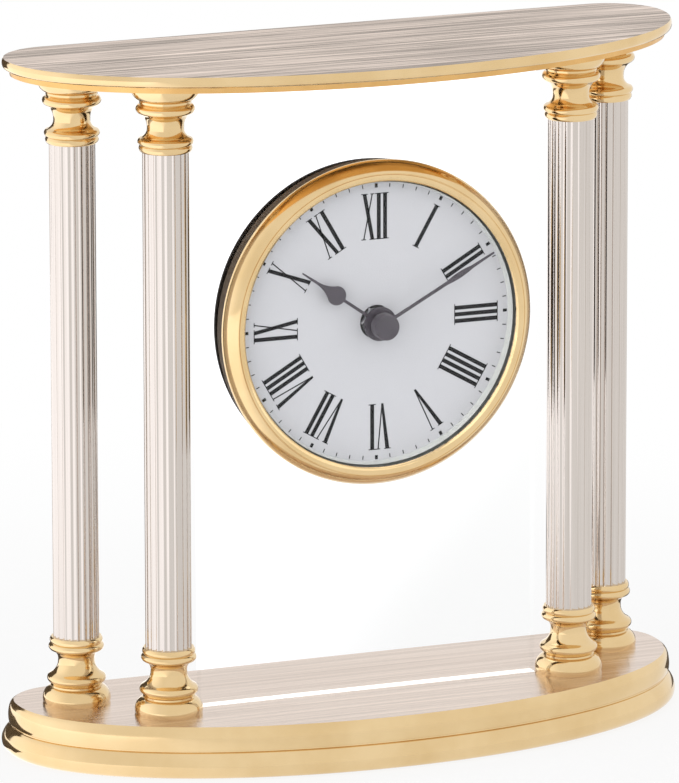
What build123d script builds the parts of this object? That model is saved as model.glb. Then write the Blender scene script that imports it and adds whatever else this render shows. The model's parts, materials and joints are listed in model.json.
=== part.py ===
from build123d import *
import math
import os

os.makedirs("parts", exist_ok=True)

# Four-column table clock: a D-shaped brass base, four fluted columns with turned
# feet and capitals, a brass top plate, a glass panel that stands between the two
# front columns, and a round quartz insert that is pushed through a hole in the glass.
# Millimetres. +X is right, +Y is back, +Z is up. The origin is on the table, under
# the middle of the base.

# Base
felt_thickness = 1.2
felt_proud = 0.4
felt_inset = 2.0
felt_clearance = 0.1
base_height = 12.5
base_side_margin = 14.75
base_bow = 43.4
base_bow_centre_y = 14.3
base_back_margin = 15.1
base_corner = 13.0
upper_tier_height = 5.7
upper_tier_bulge = 1.3
groove_height = 0.5
groove_depth = 0.3
lower_tier_bulge = 2.8
base_wall = 7.0
base_roof = 5.0
ballast_thickness = 5.9
ballast_clearance = 1.0
ballast_hole_radius = 5.5

# Top plate
plate_thickness = 4.15
plate_overhang = 1.0
plate_bow = 44.2
plate_bow_centre_y = 15.45
plate_back_overhang = 0.95
plate_corner = 14.0
rim_height = 2.6
rim_bulge_depth = 0.4
band_inset = 1.1
band_draft = 0.4
plate_roof = 1.2

# Columns, and the rods that pull the clock together through them
column_length = 155.2
front_column_y = -4.2
column_spread_x = 17.1
column_spread_y = 18.2
foot_radius = 8.37
foot_height = 16.4
shaft_radius = 5.6
flute_count = 22
flute_radius = 0.95
flute_depth = 0.24
tenon_radius = 4.0
tenon_length = 1.5
tenon_clearance = 0.05
rod_radius = 1.5
rod_clearance = 0.1
thread_clearance = 0.03
nut_width = 5.5
nut_height = 2.4
washer_radius = 3.4
washer_thickness = 0.5
rod_tail = 0.8

# Glass panel, its slot in the base and its groove in the plate
glass_thickness = 3.2
glass_centre_y = -1.7
glass_side_gap = 0.38
glass_side_margin = 8.9
glass_arris = 0.3
slot_depth = 3.5
slot_clearance = 0.1
slot_end_clearance = 0.2
plate_groove_depth = 2.0
seat_strip_thickness = 0.6
top_strip_thickness = 0.4

# Insert: housing cup, gasket, dial, reflector, crystal and bezel
dial_top_margin = 21.9
housing_stand = 4.9
housing_rim_front = 1.0
housing_rim_step = 0.4
housing_rim_width = 1.55
housing_ledge = 1.2
case_corner_room = 0.98
cup_clearance = 0.6
cup_wall = 1.2
cup_depth = 11.3
window_clearance = 0.3
gasket_gap = 0.05
gasket_lip = 1.2
gasket_lip_width = 3.6
dial_seat = 1.0
dial_rim_gap = 0.15
dial_thickness = 0.5
reflector_height = 2.1
reflector_width = 2.6
reflector_flare = 0.4
reflector_gap = 0.1
bezel_rim_gap = 0.1
bezel_flank = 3.1
bezel_ridge = 4.2
bezel_lip_width = 1.7
bezel_lip = 3.5
bezel_lip_thickness = 0.5
bezel_side = 0.8
bezel_wall = 1.1
bezel_crest = 0.12
crystal_gap = 0.2
crystal_wall = 1.1
crystal_flange_gap = 0.3
crystal_dome = 9.0
crystal_shoulder = 5.8
crystal_sag = 3.0

# Hands
hand_thickness = 0.35
hour_hand_level = 2.4
hour_hand_length = 24.6
hour_hand_boss = 4.2
hour_hand_bulb = 2.36
minute_hand_level = 4.0
minute_hand_length = 33.0
minute_hand_boss = 3.0
minute_hand_leaf = 0.69
hand_stem = 0.375
cap_radius = 3.2
cap_level = 7.4
cap_edge = 0.4
hour_at_rest = 305.15
minute_at_rest = 61.8

# Movement case
cell_end_room = 1.65
case_top = 20.0
case_bottom = -20.2
case_wall = 1.2
case_depth = 17.1
bushing_radius = 2.8
bushing_length = 2.2
hand_nut_width = 7.2
hand_nut_thickness = 1.4
running = 0.07
post_radius = 1.5
post_x = 14.5
post_low = -5.5
post_high = 9.0
bridge_level = 11.3
bridge_thickness = 1.0
bridge_margin = 1.8
bridge_end_gap = 0.6
screw_head_radius = 1.4
screw_head_height = 0.9
screw_radius = 0.6
screw_length = 3.0

# Wheel train: centres are given from the dial centre, levels from the dial back
motion_distance = 7.5
motion_angle = 20.0
third_distance = 6.8
third_angle = 180.0
intermediate_distance = 7.0
intermediate_angle = 100.0
rotor_angle = 20.0
motion_teeth = 45
cannon_teeth = 15
motion_pinion_teeth = 12
hour_teeth = 48
centre_teeth = 60
third_pinion_teeth = 8
third_teeth = 64
seconds_pinion_teeth = 8
seconds_teeth = 60
intermediate_pinion_teeth = 10
intermediate_teeth = 60
rotor_pinion_teeth = 12
rotor_module = 0.18
wheel_thickness = 0.5
pinion_length = 0.9
arbor_radius = 0.35
seconds_arbor_radius = 0.28
motion_arbor_radius = 0.6
arbor_seat = 0.4
arbor_end = 0.7
hour_wheel_level = 1.6
motion_wheel_level = 2.8
cannon_level = 2.7
centre_wheel_level = 3.8
third_wheel_level = 5.0
seconds_wheel_level = 6.1
intermediate_wheel_level = 7.1
rotor_level = 8.3
cannon_radius = 1.35
cannon_tail_radius = 0.75
cannon_tail_length = 1.1
hour_pipe_wall = 0.45
collar_radius = 0.5
rotor_collar_radius = 0.8
centre_hub_radius = 1.3
centre_hub_length = 0.7
magnet_radius = 2.6
magnet_length = 2.0

# Stator, coil, board
stator_level = 8.6
stator_thickness = 0.8
stator_half_width = 12.4
stator_arm = 2.6
stator_low = 5.4
stator_bar_top = 12.4
stator_air_gap = 0.3
coil_height = 15.9
core_width = 1.8
core_clearance = 0.1
bobbin_radius = 1.4
flange_radius = 2.7
flange_thickness = 0.6
winding_radius = 2.5
winding_clearance = 0.05
stator_pin_radius = 1.0
arbor_hole_play = 0.45
board_post_gap = 0.7
board_height = 24.0
board_low = -6.0
board_thickness = 0.8

# Cell, contacts, door, setting knob
cell_radius = 5.25
cell_length = 44.5
cell_nub_radius = 1.9
cell_nub_length = 1.2
cell_clearance = 0.1
cell_door_gap = 0.2
contact_thickness = 0.4
contact_width = 8.0
contact_height = 7.0
contact_gap = 0.05
contact_boss_radius = 1.6
spring_leaf_thickness = 0.3
door_thickness = 1.1
door_clearance = 0.1
door_tongue = 0.5
door_tongue_thickness = 0.5
door_grip_width = 10.0
door_grip_height = 0.6
door_grip_step = 1.6
door_grip_ribs = 4
door_grip_rise = 0.3
knob_radius = 4.5
knob_height = 1.8
knob_gap = 0.15
knob_socket = 1.2
knob_ribs = 16

# Forms, as shares of the sizes that they follow
upper_tier_shares = [(0, 0), (0.10, 0.48), (0.28, 0.82), (0.60, 1.0), (0.86, 0.84), (1.0, 0.4)]
lower_tier_shares = [(0, 0.12), (0.10, 0.56), (0.30, 0.86), (0.52, 1.0), (0.76, 0.94), (0.92, 0.7), (1.0, 0.43)]
rim_shares = [(0, 0), (0.16, 0.62), (0.46, 1.0), (0.80, 0.5), (1.0, -0.75)]
foot_start_share = (0.975, 0)
foot_shares = [
    ((0.966, 0.135), (0.790, 0.236)),
    (None, (0.752, 0.243)),
    (None, (0.752, 0.268)),
    (None, (0.722, 0.282)),
    (None, (0.742, 0.298)),
    ((0.854, 0.352), (0.790, 0.425)),
    ((0.580, 0.530), (0.534, 0.640)),
    ((0.576, 0.735), (0.738, 0.797)),
    ((0.808, 0.848), (0.742, 0.903)),
    ((0.774, 0.950), (0.728, 1.0)),
]
hour_hand_shares = [
    (None, (0.159, 0.466)),
    ((1.0, 0.561), (0.678, 0.631)),
    ((0.318, 0.707), (0.144, 0.837)),
    (None, (0.076, 1.0)),
]
minute_hand_shares = [
    (None, (0.543, 0.576)),
    ((1.0, 0.673), (0.507, 0.803)),
    (None, (0.290, 1.0)),
]
bezel_shoulder_share = 1.36
tooth_tip_share = 0.85
tooth_root_share = 1.25
tooth_base_share = 0.72
knob_tooth_share = 0.45

# Levels and places that follow from the sizes. The movement case is as wide as the
# cell in it asks, and the insert and the hole in the glass go round the case.
case_half_width = cell_length / 2 + cell_end_room + case_wall
bridge_end_x = bridge_end_gap + case_wall - case_half_width
board_width = -bridge_end_x - post_x - post_radius - board_post_gap
glass_hole_radius = math.hypot(case_half_width, case_bottom) + case_corner_room + cup_wall + cup_clearance
gasket_lip_radius = glass_hole_radius + gasket_lip_width
dial_ledge_inner = glass_hole_radius + housing_ledge
dial_radius = dial_ledge_inner + dial_seat
housing_rim_inner = dial_radius + dial_rim_gap
housing_rim_outer = housing_rim_inner + housing_rim_width
housing_radius = housing_rim_outer + housing_rim_step
reflector_outer = dial_radius - reflector_gap
reflector_inner = reflector_outer - reflector_width
bezel_radius = housing_rim_outer + bezel_rim_gap + bezel_wall
bezel_ridge_radius = bezel_radius - bezel_flank
bezel_lip_radius = bezel_ridge_radius - bezel_lip_width
crystal_wall_outer = bezel_lip_radius - crystal_gap
crystal_flange_radius = dial_radius - crystal_flange_gap
glass_half_width = glass_hole_radius + glass_side_margin
front_column_x = glass_half_width + glass_side_gap + foot_radius
back_column_x = front_column_x + column_spread_x
back_column_y = front_column_y + column_spread_y
base_half_width = back_column_x + base_side_margin
base_back_y = back_column_y + base_back_margin
plate_half_width = base_half_width + plate_overhang
plate_back_y = base_back_y + plate_back_overhang
base_face = felt_proud + base_height
plate_face = base_face + column_length
plate_top = plate_face + plate_thickness
dial_height = plate_face - dial_top_margin - bezel_radius
hollow_top = base_face - base_roof
glass_front = glass_centre_y - glass_thickness / 2
glass_back = glass_centre_y + glass_thickness / 2
slot_bottom = base_face - slot_depth
groove_top = plate_face + plate_groove_depth
dial_front = glass_front - housing_stand
dial_back = dial_front + dial_thickness
cup_radius = glass_hole_radius - cup_clearance
cup_back = glass_front + cup_depth
case_back = dial_back + case_depth
plate_back = dial_back + case_wall
rear_wall_front = case_back - case_wall
bridge_front = dial_back + bridge_level
bridge_back = bridge_front + bridge_thickness
hour_pipe_bore = cannon_radius + running
hour_pipe_radius = hour_pipe_bore + hour_pipe_wall

columns = {
    "front_left": (-front_column_x, front_column_y),
    "front_right": (front_column_x, front_column_y),
    "back_left": (-back_column_x, back_column_y),
    "back_right": (back_column_x, back_column_y),
}
rod_places = list(columns.values())


def facing(y, turn=0):
    """Plane at the depth y, square to the dial's axis and looking forwards, turned clockwise."""
    across = (math.cos(math.radians(turn)), 0, -math.sin(math.radians(turn)))
    return Plane(origin=(0, y, dial_height), x_dir=across, z_dir=(0, -1, 0))


dial_section = Plane(origin=(0, 0, dial_height), x_dir=(0, 1, 0), z_dir=(1, 0, 0))
dial_axis = Axis((0, 0, dial_height), (0, 1, 0))


def polar(distance, angle):
    return (distance * math.cos(math.radians(angle)), distance * math.sin(math.radians(angle)))


def bow_face(half_width, bow, bow_centre_y, back_y, corner):
    """D-shaped face: half ellipse in front, straight sides and back, two round corners."""
    with BuildSketch() as outline:
        with BuildLine():
            EllipticalCenterArc((0, bow_centre_y), half_width, bow, start_angle=180, arc_size=180)
            Line((half_width, bow_centre_y), (half_width, back_y - corner))
            CenterArc((half_width - corner, back_y - corner), corner, 0, 90)
            Line((half_width - corner, back_y), (corner - half_width, back_y))
            CenterArc((corner - half_width, back_y - corner), corner, 90, 90)
            Line((-half_width, back_y - corner), (-half_width, bow_centre_y))
        make_face()
    return outline.sketch


def base_outline(grow):
    return bow_face(
        base_half_width + grow, base_bow + grow, base_bow_centre_y, base_back_y + grow, base_corner + grow
    )


def plate_outline(grow):
    return bow_face(
        plate_half_width + grow, plate_bow + grow, plate_bow_centre_y, plate_back_y + grow, plate_corner + grow
    )


def toothed_face(teeth, module, turn=0, base=tooth_base_share):
    """Wheel outline with pointed teeth that leave play, one tooth at the angle turn."""
    pitch = 360 / teeth
    tip = module * (teeth / 2 + tooth_tip_share)
    root = module * (teeth / 2 - tooth_root_share)
    corners = []
    for tooth in range(teeth):
        middle = turn + tooth * pitch
        corners.append(polar(root, middle - base * pitch / 2))
        corners.append(polar(tip, middle))
        corners.append(polar(root, middle + base * pitch / 2))
    with BuildSketch() as outline:
        with BuildLine():
            Polyline(*corners, close=True)
        make_face()
    return outline.sketch


def hand_face(stem, boss, length, breadth, table, bore):
    """Hand outline that points to twelve: a boss, a stem and a shaped tip."""
    with BuildSketch() as outline:
        with BuildLine():
            here = (stem, 0)
            for middle, end in table:
                there = (end[0] * breadth, end[1] * length)
                if middle is None:
                    Line(here, there)
                else:
                    ThreePointArc(here, (middle[0] * breadth, middle[1] * length), there)
                here = there
            Line(here, (0, length))
            mirror(about=Plane.YZ)
            Line((-stem, 0), (stem, 0))
        make_face()
        Circle(boss)
        Circle(bore, mode=Mode.SUBTRACT)
    return outline.sketch


# Base

with BuildPart() as base_felt:
    with BuildSketch():
        add(base_outline(-felt_inset))
    extrude(amount=felt_thickness)
base_felt.part.label = "base_felt"
export_step(base_felt.part, "parts/base_felt.step")

lower_tier_height = base_height - upper_tier_height - groove_height
with BuildPart() as base_casting:
    for depth_share, grow_share in upper_tier_shares:
        with BuildSketch(Plane.XY.offset(base_face - depth_share * upper_tier_height)):
            add(base_outline(grow_share * upper_tier_bulge))
    loft()
    with BuildSketch(Plane.XY.offset(base_face - upper_tier_height - groove_height)):
        add(base_outline(-groove_depth))
    extrude(amount=groove_height)
    for depth_share, grow_share in lower_tier_shares:
        with BuildSketch(Plane.XY.offset(felt_proud + (1 - depth_share) * lower_tier_height)):
            add(base_outline(grow_share * lower_tier_bulge))
    loft()
    with BuildSketch(Plane.XY.offset(felt_proud)):
        add(base_outline(felt_clearance - felt_inset))
    extrude(amount=felt_thickness - felt_proud, mode=Mode.SUBTRACT)
    with BuildSketch(Plane.XY.offset(felt_proud)):
        add(base_outline(-base_wall))
    extrude(amount=hollow_top - felt_proud, mode=Mode.SUBTRACT)
    with BuildSketch(Plane.XY.offset(hollow_top)):
        with Locations(*rod_places):
            Circle(rod_radius + rod_clearance)
    extrude(amount=base_roof, mode=Mode.SUBTRACT)
    with BuildSketch(Plane.XY.offset(slot_bottom)):
        with Locations((0, glass_centre_y)):
            Rectangle(2 * (glass_half_width + slot_end_clearance), glass_thickness + 2 * slot_clearance)
    extrude(amount=slot_depth, mode=Mode.SUBTRACT)
base_casting.part.label = "base_casting"
export_step(base_casting.part, "parts/base_casting.step")

with BuildPart() as base_ballast:
    with BuildSketch(Plane.XY.offset(hollow_top - ballast_thickness)):
        add(base_outline(-base_wall - ballast_clearance))
        with Locations(*rod_places):
            Circle(ballast_hole_radius, mode=Mode.SUBTRACT)
    extrude(amount=ballast_thickness)
base_ballast.part.label = "base_ballast"
export_step(base_ballast.part, "parts/base_ballast.step")

# Rods, nuts and washers

rod_foot = hollow_top - washer_thickness - nut_height - rod_tail
rod_head = plate_top - plate_roof
with BuildPart() as tie_rods:
    with BuildSketch(Plane.XY.offset(rod_foot)):
        with Locations(*rod_places):
            Circle(rod_radius)
    extrude(amount=rod_head - rod_clearance - rod_foot)
tie_rods.part.label = "tie_rods"
export_step(tie_rods.part, "parts/tie_rods.step")

with BuildPart() as base_washers:
    with BuildSketch(Plane.XY.offset(hollow_top - washer_thickness)):
        with Locations(*rod_places):
            Circle(washer_radius)
            Circle(rod_radius + rod_clearance, mode=Mode.SUBTRACT)
    extrude(amount=washer_thickness)
base_washers.part.label = "base_washers"
export_step(base_washers.part, "parts/base_washers.step")

with BuildPart() as base_nuts:
    with BuildSketch(Plane.XY.offset(hollow_top - washer_thickness - nut_height)):
        with Locations(*rod_places):
            RegularPolygon(nut_width / 2, 6, major_radius=False)
            Circle(rod_radius + thread_clearance, mode=Mode.SUBTRACT)
    extrude(amount=nut_height)
base_nuts.part.label = "base_nuts"
export_step(base_nuts.part, "parts/base_nuts.step")

# Columns

with BuildPart() as column_foot:
    with BuildSketch(Plane.XZ):
        with BuildLine():
            here = (foot_start_share[0] * foot_radius, base_face)
            Line((0, base_face), here)
            for middle, end in foot_shares:
                there = (end[0] * foot_radius, base_face + end[1] * foot_height)
                if middle is None:
                    Line(here, there)
                else:
                    ThreePointArc(here, (middle[0] * foot_radius, base_face + middle[1] * foot_height), there)
                here = there
            Line(here, (0, base_face + foot_height))
            Line((0, base_face + foot_height), (0, base_face))
        make_face()
    revolve(axis=Axis.Z)
    with BuildSketch(Plane.XY.offset(base_face)):
        Circle(rod_radius + rod_clearance)
    extrude(amount=foot_height, mode=Mode.SUBTRACT)
    with BuildSketch(Plane.XY.offset(base_face + foot_height)):
        Circle(tenon_radius + tenon_clearance)
    extrude(amount=-tenon_length - tenon_clearance, mode=Mode.SUBTRACT)

with BuildPart() as column_capital:
    mirror(column_foot.part, about=Plane.XY.offset(base_face + column_length / 2))

shaft_foot = base_face + foot_height
shaft_length = column_length - 2 * foot_height
with BuildPart() as column_shaft:
    with BuildSketch(Plane.XY.offset(shaft_foot)):
        Circle(shaft_radius)
        with PolarLocations(shaft_radius - flute_depth + flute_radius, flute_count):
            Circle(flute_radius, mode=Mode.SUBTRACT)
    extrude(amount=shaft_length)
    with BuildSketch(Plane.XY.offset(shaft_foot - tenon_length)):
        Circle(tenon_radius)
    extrude(amount=shaft_length + 2 * tenon_length)
    with BuildSketch(Plane.XY.offset(shaft_foot - tenon_length)):
        Circle(rod_radius + rod_clearance)
    extrude(amount=shaft_length + 2 * tenon_length, mode=Mode.SUBTRACT)

for corner, (x, y) in columns.items():
    for name, turned in (("foot", column_foot), ("capital", column_capital), ("shaft", column_shaft)):
        piece = turned.part.moved(Location((x, y, 0)))
        piece.label = f"column_{name}_{corner}"
        export_step(piece, f"parts/column_{name}_{corner}.step")

# Top plate

with BuildPart() as top_plate:
    for depth_share, grow_share in rim_shares:
        with BuildSketch(Plane.XY.offset(plate_top - depth_share * rim_height)):
            add(plate_outline(grow_share * rim_bulge_depth))
    loft()
    with BuildSketch(Plane.XY.offset(plate_face)):
        add(plate_outline(-band_inset - band_draft))
    with BuildSketch(Plane.XY.offset(plate_top - rim_height)):
        add(plate_outline(-band_inset))
    loft()
    with BuildSketch(Plane.XY.offset(plate_face)):
        with Locations(*rod_places):
            Circle(rod_radius + thread_clearance)
    extrude(amount=plate_thickness - plate_roof, mode=Mode.SUBTRACT)
    with BuildSketch(Plane.XY.offset(plate_face)):
        with Locations((0, glass_centre_y)):
            Rectangle(2 * (glass_half_width + slot_end_clearance), glass_thickness + 2 * slot_clearance)
    extrude(amount=plate_groove_depth, mode=Mode.SUBTRACT)
top_plate.part.label = "top_plate"
export_step(top_plate.part, "parts/top_plate.step")

# Glass panel and its strips

glass_bottom = slot_bottom + seat_strip_thickness
glass_top = groove_top - top_strip_thickness
with BuildPart() as glass_panel:
    with BuildSketch(Plane.XY.offset(glass_bottom)):
        with Locations((0, glass_centre_y)):
            Rectangle(2 * glass_half_width, glass_thickness)
    extrude(amount=glass_top - glass_bottom)
    chamfer(glass_panel.edges().filter_by(Axis.Z), glass_arris)
    with BuildSketch(facing(glass_back)):
        Circle(glass_hole_radius)
    extrude(amount=glass_thickness, mode=Mode.SUBTRACT)
glass_panel.part.label = "glass_panel"
export_step(glass_panel.part, "parts/glass_panel.step")

with BuildPart() as glass_seat_strip:
    with BuildSketch(Plane.XY.offset(slot_bottom)):
        with Locations((0, glass_centre_y)):
            Rectangle(2 * glass_half_width, glass_thickness)
    extrude(amount=seat_strip_thickness)
glass_seat_strip.part.label = "glass_seat_strip"
export_step(glass_seat_strip.part, "parts/glass_seat_strip.step")

with BuildPart() as glass_top_strip:
    with BuildSketch(Plane.XY.offset(glass_top)):
        with Locations((0, glass_centre_y)):
            Rectangle(2 * glass_half_width, glass_thickness)
    extrude(amount=top_strip_thickness)
glass_top_strip.part.label = "glass_top_strip"
export_step(glass_top_strip.part, "parts/glass_top_strip.step")

# Insert housing: a cup behind the glass and a wider tub in front of it. In these
# sections the first number is the depth along the dial's axis, the second the radius.

tub_floor = glass_front - cup_wall
with BuildPart() as insert_housing:
    with BuildSketch(dial_section):
        with BuildLine():
            Polyline(
                (dial_front - housing_rim_front, housing_rim_inner),
                (dial_front - housing_rim_front, housing_rim_outer),
                (dial_front, housing_rim_outer),
                (dial_front, housing_radius),
                (glass_front, housing_radius),
                (glass_front, cup_radius),
                (cup_back, cup_radius),
                (cup_back, 0),
                (cup_back - cup_wall, 0),
                (cup_back - cup_wall, cup_radius - cup_wall),
                (tub_floor, cup_radius - cup_wall),
                (tub_floor, dial_ledge_inner),
                (dial_back, dial_ledge_inner),
                (dial_back, housing_rim_inner),
                close=True,
            )
        make_face()
    revolve(axis=dial_axis)
    with BuildSketch(facing(cup_back)):
        with Locations((0, (case_top + case_bottom) / 2)):
            Rectangle(2 * (case_half_width + window_clearance), case_top - case_bottom + 2 * window_clearance)
    extrude(amount=cup_wall, mode=Mode.SUBTRACT)
insert_housing.part.label = "insert_housing"
export_step(insert_housing.part, "parts/insert_housing.step")

with BuildPart() as gasket_ring:
    with BuildSketch(dial_section):
        with BuildLine():
            Polyline(
                (glass_front, cup_radius + gasket_gap),
                (glass_front, glass_hole_radius - gasket_gap),
                (glass_back, glass_hole_radius - gasket_gap),
                (glass_back, gasket_lip_radius),
                (glass_back + gasket_lip, gasket_lip_radius),
                (glass_back + gasket_lip, cup_radius + gasket_gap),
                close=True,
            )
        make_face()
    revolve(axis=dial_axis)
gasket_ring.part.label = "gasket_ring"
export_step(gasket_ring.part, "parts/gasket_ring.step")

with BuildPart() as dial:
    with BuildSketch(facing(dial_back)):
        Circle(dial_radius)
        Circle(bushing_radius + running, mode=Mode.SUBTRACT)
    extrude(amount=dial_thickness)
dial.part.label = "dial"
export_step(dial.part, "parts/dial.step")

reflector_front = dial_front - reflector_height
with BuildPart() as reflector_ring:
    with BuildSketch(dial_section):
        with BuildLine():
            Polyline(
                (dial_front, reflector_inner),
                (reflector_front, reflector_inner + reflector_flare),
                (reflector_front, reflector_outer),
                (dial_front, reflector_outer),
                close=True,
            )
        make_face()
    revolve(axis=dial_axis)
reflector_ring.part.label = "reflector_ring"
export_step(reflector_ring.part, "parts/reflector_ring.step")

# The crystal is a moulded lens: a shallow dome on a rounded shoulder, with a flange
# that is held between the bezel's lip and the reflector ring.

lip_back = dial_front - bezel_lip + bezel_lip_thickness
crystal_bore = crystal_wall_outer - crystal_wall
crystal_front = dial_front - crystal_dome
shoulder_front = crystal_front + crystal_sag
sphere_radius = (crystal_bore**2 + crystal_sag**2) / (2 * crystal_sag)
half_sag = sphere_radius - math.sqrt(sphere_radius**2 - crystal_bore**2 / 4)
shoulder_side = dial_front - crystal_shoulder + crystal_wall
with BuildPart() as crystal:
    with BuildSketch(dial_section):
        with BuildLine():
            ThreePointArc(
                (crystal_front, 0),
                (crystal_front + half_sag, crystal_bore / 2),
                (shoulder_front, crystal_bore),
            )
            ThreePointArc(
                (shoulder_front, crystal_bore),
                (dial_front - crystal_shoulder + crystal_wall / 4, crystal_wall_outer - crystal_wall / 4),
                (shoulder_side, crystal_wall_outer),
            )
            Polyline(
                (shoulder_side, crystal_wall_outer),
                (lip_back, crystal_wall_outer),
                (lip_back, crystal_flange_radius),
                (reflector_front, crystal_flange_radius),
                (reflector_front, crystal_bore),
                (shoulder_front + crystal_wall, crystal_bore),
            )
            ThreePointArc(
                (shoulder_front + crystal_wall, crystal_bore),
                (crystal_front + crystal_wall + half_sag, crystal_bore / 2),
                (crystal_front + crystal_wall, 0),
            )
            Line((crystal_front + crystal_wall, 0), (crystal_front, 0))
        make_face()
    revolve(axis=dial_axis)
crystal.part.label = "crystal"
export_step(crystal.part, "parts/crystal.step")

# The bezel is a turned shell of even wall that closes over the housing's rim.

ridge_front = dial_front - bezel_ridge
lip_front = dial_front - bezel_lip
side_front = dial_front - bezel_side
with BuildPart() as bezel:
    with BuildSketch(dial_section):
        with BuildLine():
            Line((dial_front, bezel_radius), (side_front, bezel_radius))
            ThreePointArc(
                (side_front, bezel_radius),
                ((side_front + 2 * ridge_front) / 3, (2 * bezel_radius + bezel_ridge_radius) / 3),
                (ridge_front, bezel_ridge_radius),
            )
            ThreePointArc(
                (ridge_front, bezel_ridge_radius),
                (ridge_front + bezel_crest, (bezel_ridge_radius + bezel_lip_radius) / 2),
                (lip_front, bezel_lip_radius),
            )
            Polyline(
                (lip_front, bezel_lip_radius),
                (lip_back, bezel_lip_radius),
                (lip_back, dial_radius),
                (lip_back + bezel_wall, bezel_radius - bezel_shoulder_share * bezel_wall),
                (side_front - bezel_wall / 3, bezel_radius - bezel_wall),
                (dial_front, bezel_radius - bezel_wall),
                (dial_front, bezel_radius),
            )
        make_face()
    revolve(axis=dial_axis)
bezel.part.label = "bezel"
export_step(bezel.part, "parts/bezel.step")

# Hands, on the pipes of the hour wheel and the cannon pinion

hour_hand_back = dial_front - hour_hand_level
minute_hand_back = dial_front - minute_hand_level
hour_pipe_front = hour_hand_back - hand_thickness
cannon_front = minute_hand_back - hand_thickness

with BuildPart() as hour_hand:
    with BuildSketch(facing(hour_hand_back, hour_at_rest)):
        add(
            hand_face(
                hand_stem, hour_hand_boss, hour_hand_length, hour_hand_bulb, hour_hand_shares,
                hour_pipe_radius + thread_clearance,
            )
        )
    extrude(amount=hand_thickness)
hour_hand.part.label = "hour_hand"
export_step(hour_hand.part, "parts/hour_hand.step")

with BuildPart() as minute_hand:
    with BuildSketch(facing(minute_hand_back, minute_at_rest)):
        add(
            hand_face(
                hand_stem, minute_hand_boss, minute_hand_length, minute_hand_leaf, minute_hand_shares,
                cannon_radius + thread_clearance,
            )
        )
    extrude(amount=hand_thickness)
minute_hand.part.label = "minute_hand"
export_step(minute_hand.part, "parts/minute_hand.step")

with BuildPart() as hand_cap:
    with BuildSketch(facing(cannon_front)):
        Circle(cap_radius)
    extrude(amount=cap_level - minute_hand_level - hand_thickness)
    chamfer(hand_cap.faces().sort_by(Axis.Y)[0].edges(), cap_edge)
    with BuildSketch(facing(cannon_front)):
        Circle(arbor_radius - thread_clearance)
    extrude(amount=-tenon_length)
hand_cap.part.label = "hand_cap"
export_step(hand_cap.part, "parts/hand_cap.step")

with BuildPart() as hand_nut:
    with BuildSketch(facing(dial_front)):
        RegularPolygon(hand_nut_width / 2, 6, major_radius=False)
        Circle(bushing_radius + thread_clearance, mode=Mode.SUBTRACT)
    extrude(amount=hand_nut_thickness)
hand_nut.part.label = "hand_nut"
export_step(hand_nut.part, "parts/hand_nut.step")

# Wheel centres. A pair's module follows from the distance of its centres.

motion_place = polar(motion_distance, motion_angle)
third_place = polar(third_distance, third_angle)
intermediate_place = polar(intermediate_distance, intermediate_angle)
rotor_distance = rotor_module * (intermediate_teeth + rotor_pinion_teeth) / 2
rotor_step = polar(rotor_distance, rotor_angle)
rotor_place = (intermediate_place[0] + rotor_step[0], intermediate_place[1] + rotor_step[1])
cannon_module = 2 * motion_distance / (cannon_teeth + motion_teeth)
hour_module = 2 * motion_distance / (motion_pinion_teeth + hour_teeth)
centre_module = 2 * third_distance / (centre_teeth + third_pinion_teeth)
third_module = 2 * third_distance / (third_teeth + seconds_pinion_teeth)
seconds_module = 2 * intermediate_distance / (seconds_teeth + intermediate_pinion_teeth)
posts = [(side * post_x, height) for side in (-1, 1) for height in (post_low, post_high)]
stator_arm_x = stator_half_width - stator_arm / 2
stator_pin_z = stator_bar_top + stator_arm / 2
arbor_front = plate_back - arbor_seat
arbor_back = bridge_front + arbor_end

# Movement case: the front shell carries the threaded bushing, the posts and the
# front bearings, the rear shell closes over it like a box.

with BuildPart() as movement_front_shell:
    with BuildSketch(facing(plate_back)):
        with Locations((0, (case_top + case_bottom) / 2)):
            Rectangle(2 * case_half_width, case_top - case_bottom)
    extrude(amount=case_wall)
    with BuildSketch(facing(dial_back)):
        Circle(bushing_radius)
    extrude(amount=bushing_length)
    with BuildSketch(facing(bridge_front)):
        with Locations(*posts):
            Circle(post_radius)
    extrude(amount=bridge_front - plate_back)
    with BuildSketch(facing(dial_back + stator_level)):
        with Locations((-stator_arm_x, stator_pin_z), (stator_arm_x, stator_pin_z)):
            Circle(stator_pin_radius)
    extrude(amount=stator_level - case_wall)
    with BuildSketch(facing(plate_back)):
        Circle(hour_pipe_radius + running)
    extrude(amount=case_wall + bushing_length, mode=Mode.SUBTRACT)
    with BuildSketch(facing(plate_back)):
        with Locations(third_place, intermediate_place, rotor_place):
            Circle(arbor_radius + running)
        with Locations(motion_place):
            Circle(motion_arbor_radius + running)
    extrude(amount=case_wall, mode=Mode.SUBTRACT)
    with BuildSketch(facing(bridge_front)):
        with Locations(*posts):
            Circle(screw_radius + thread_clearance)
    extrude(amount=screw_length, mode=Mode.SUBTRACT)
movement_front_shell.part.label = "movement_front_shell"
export_step(movement_front_shell.part, "parts/movement_front_shell.step")

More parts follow.
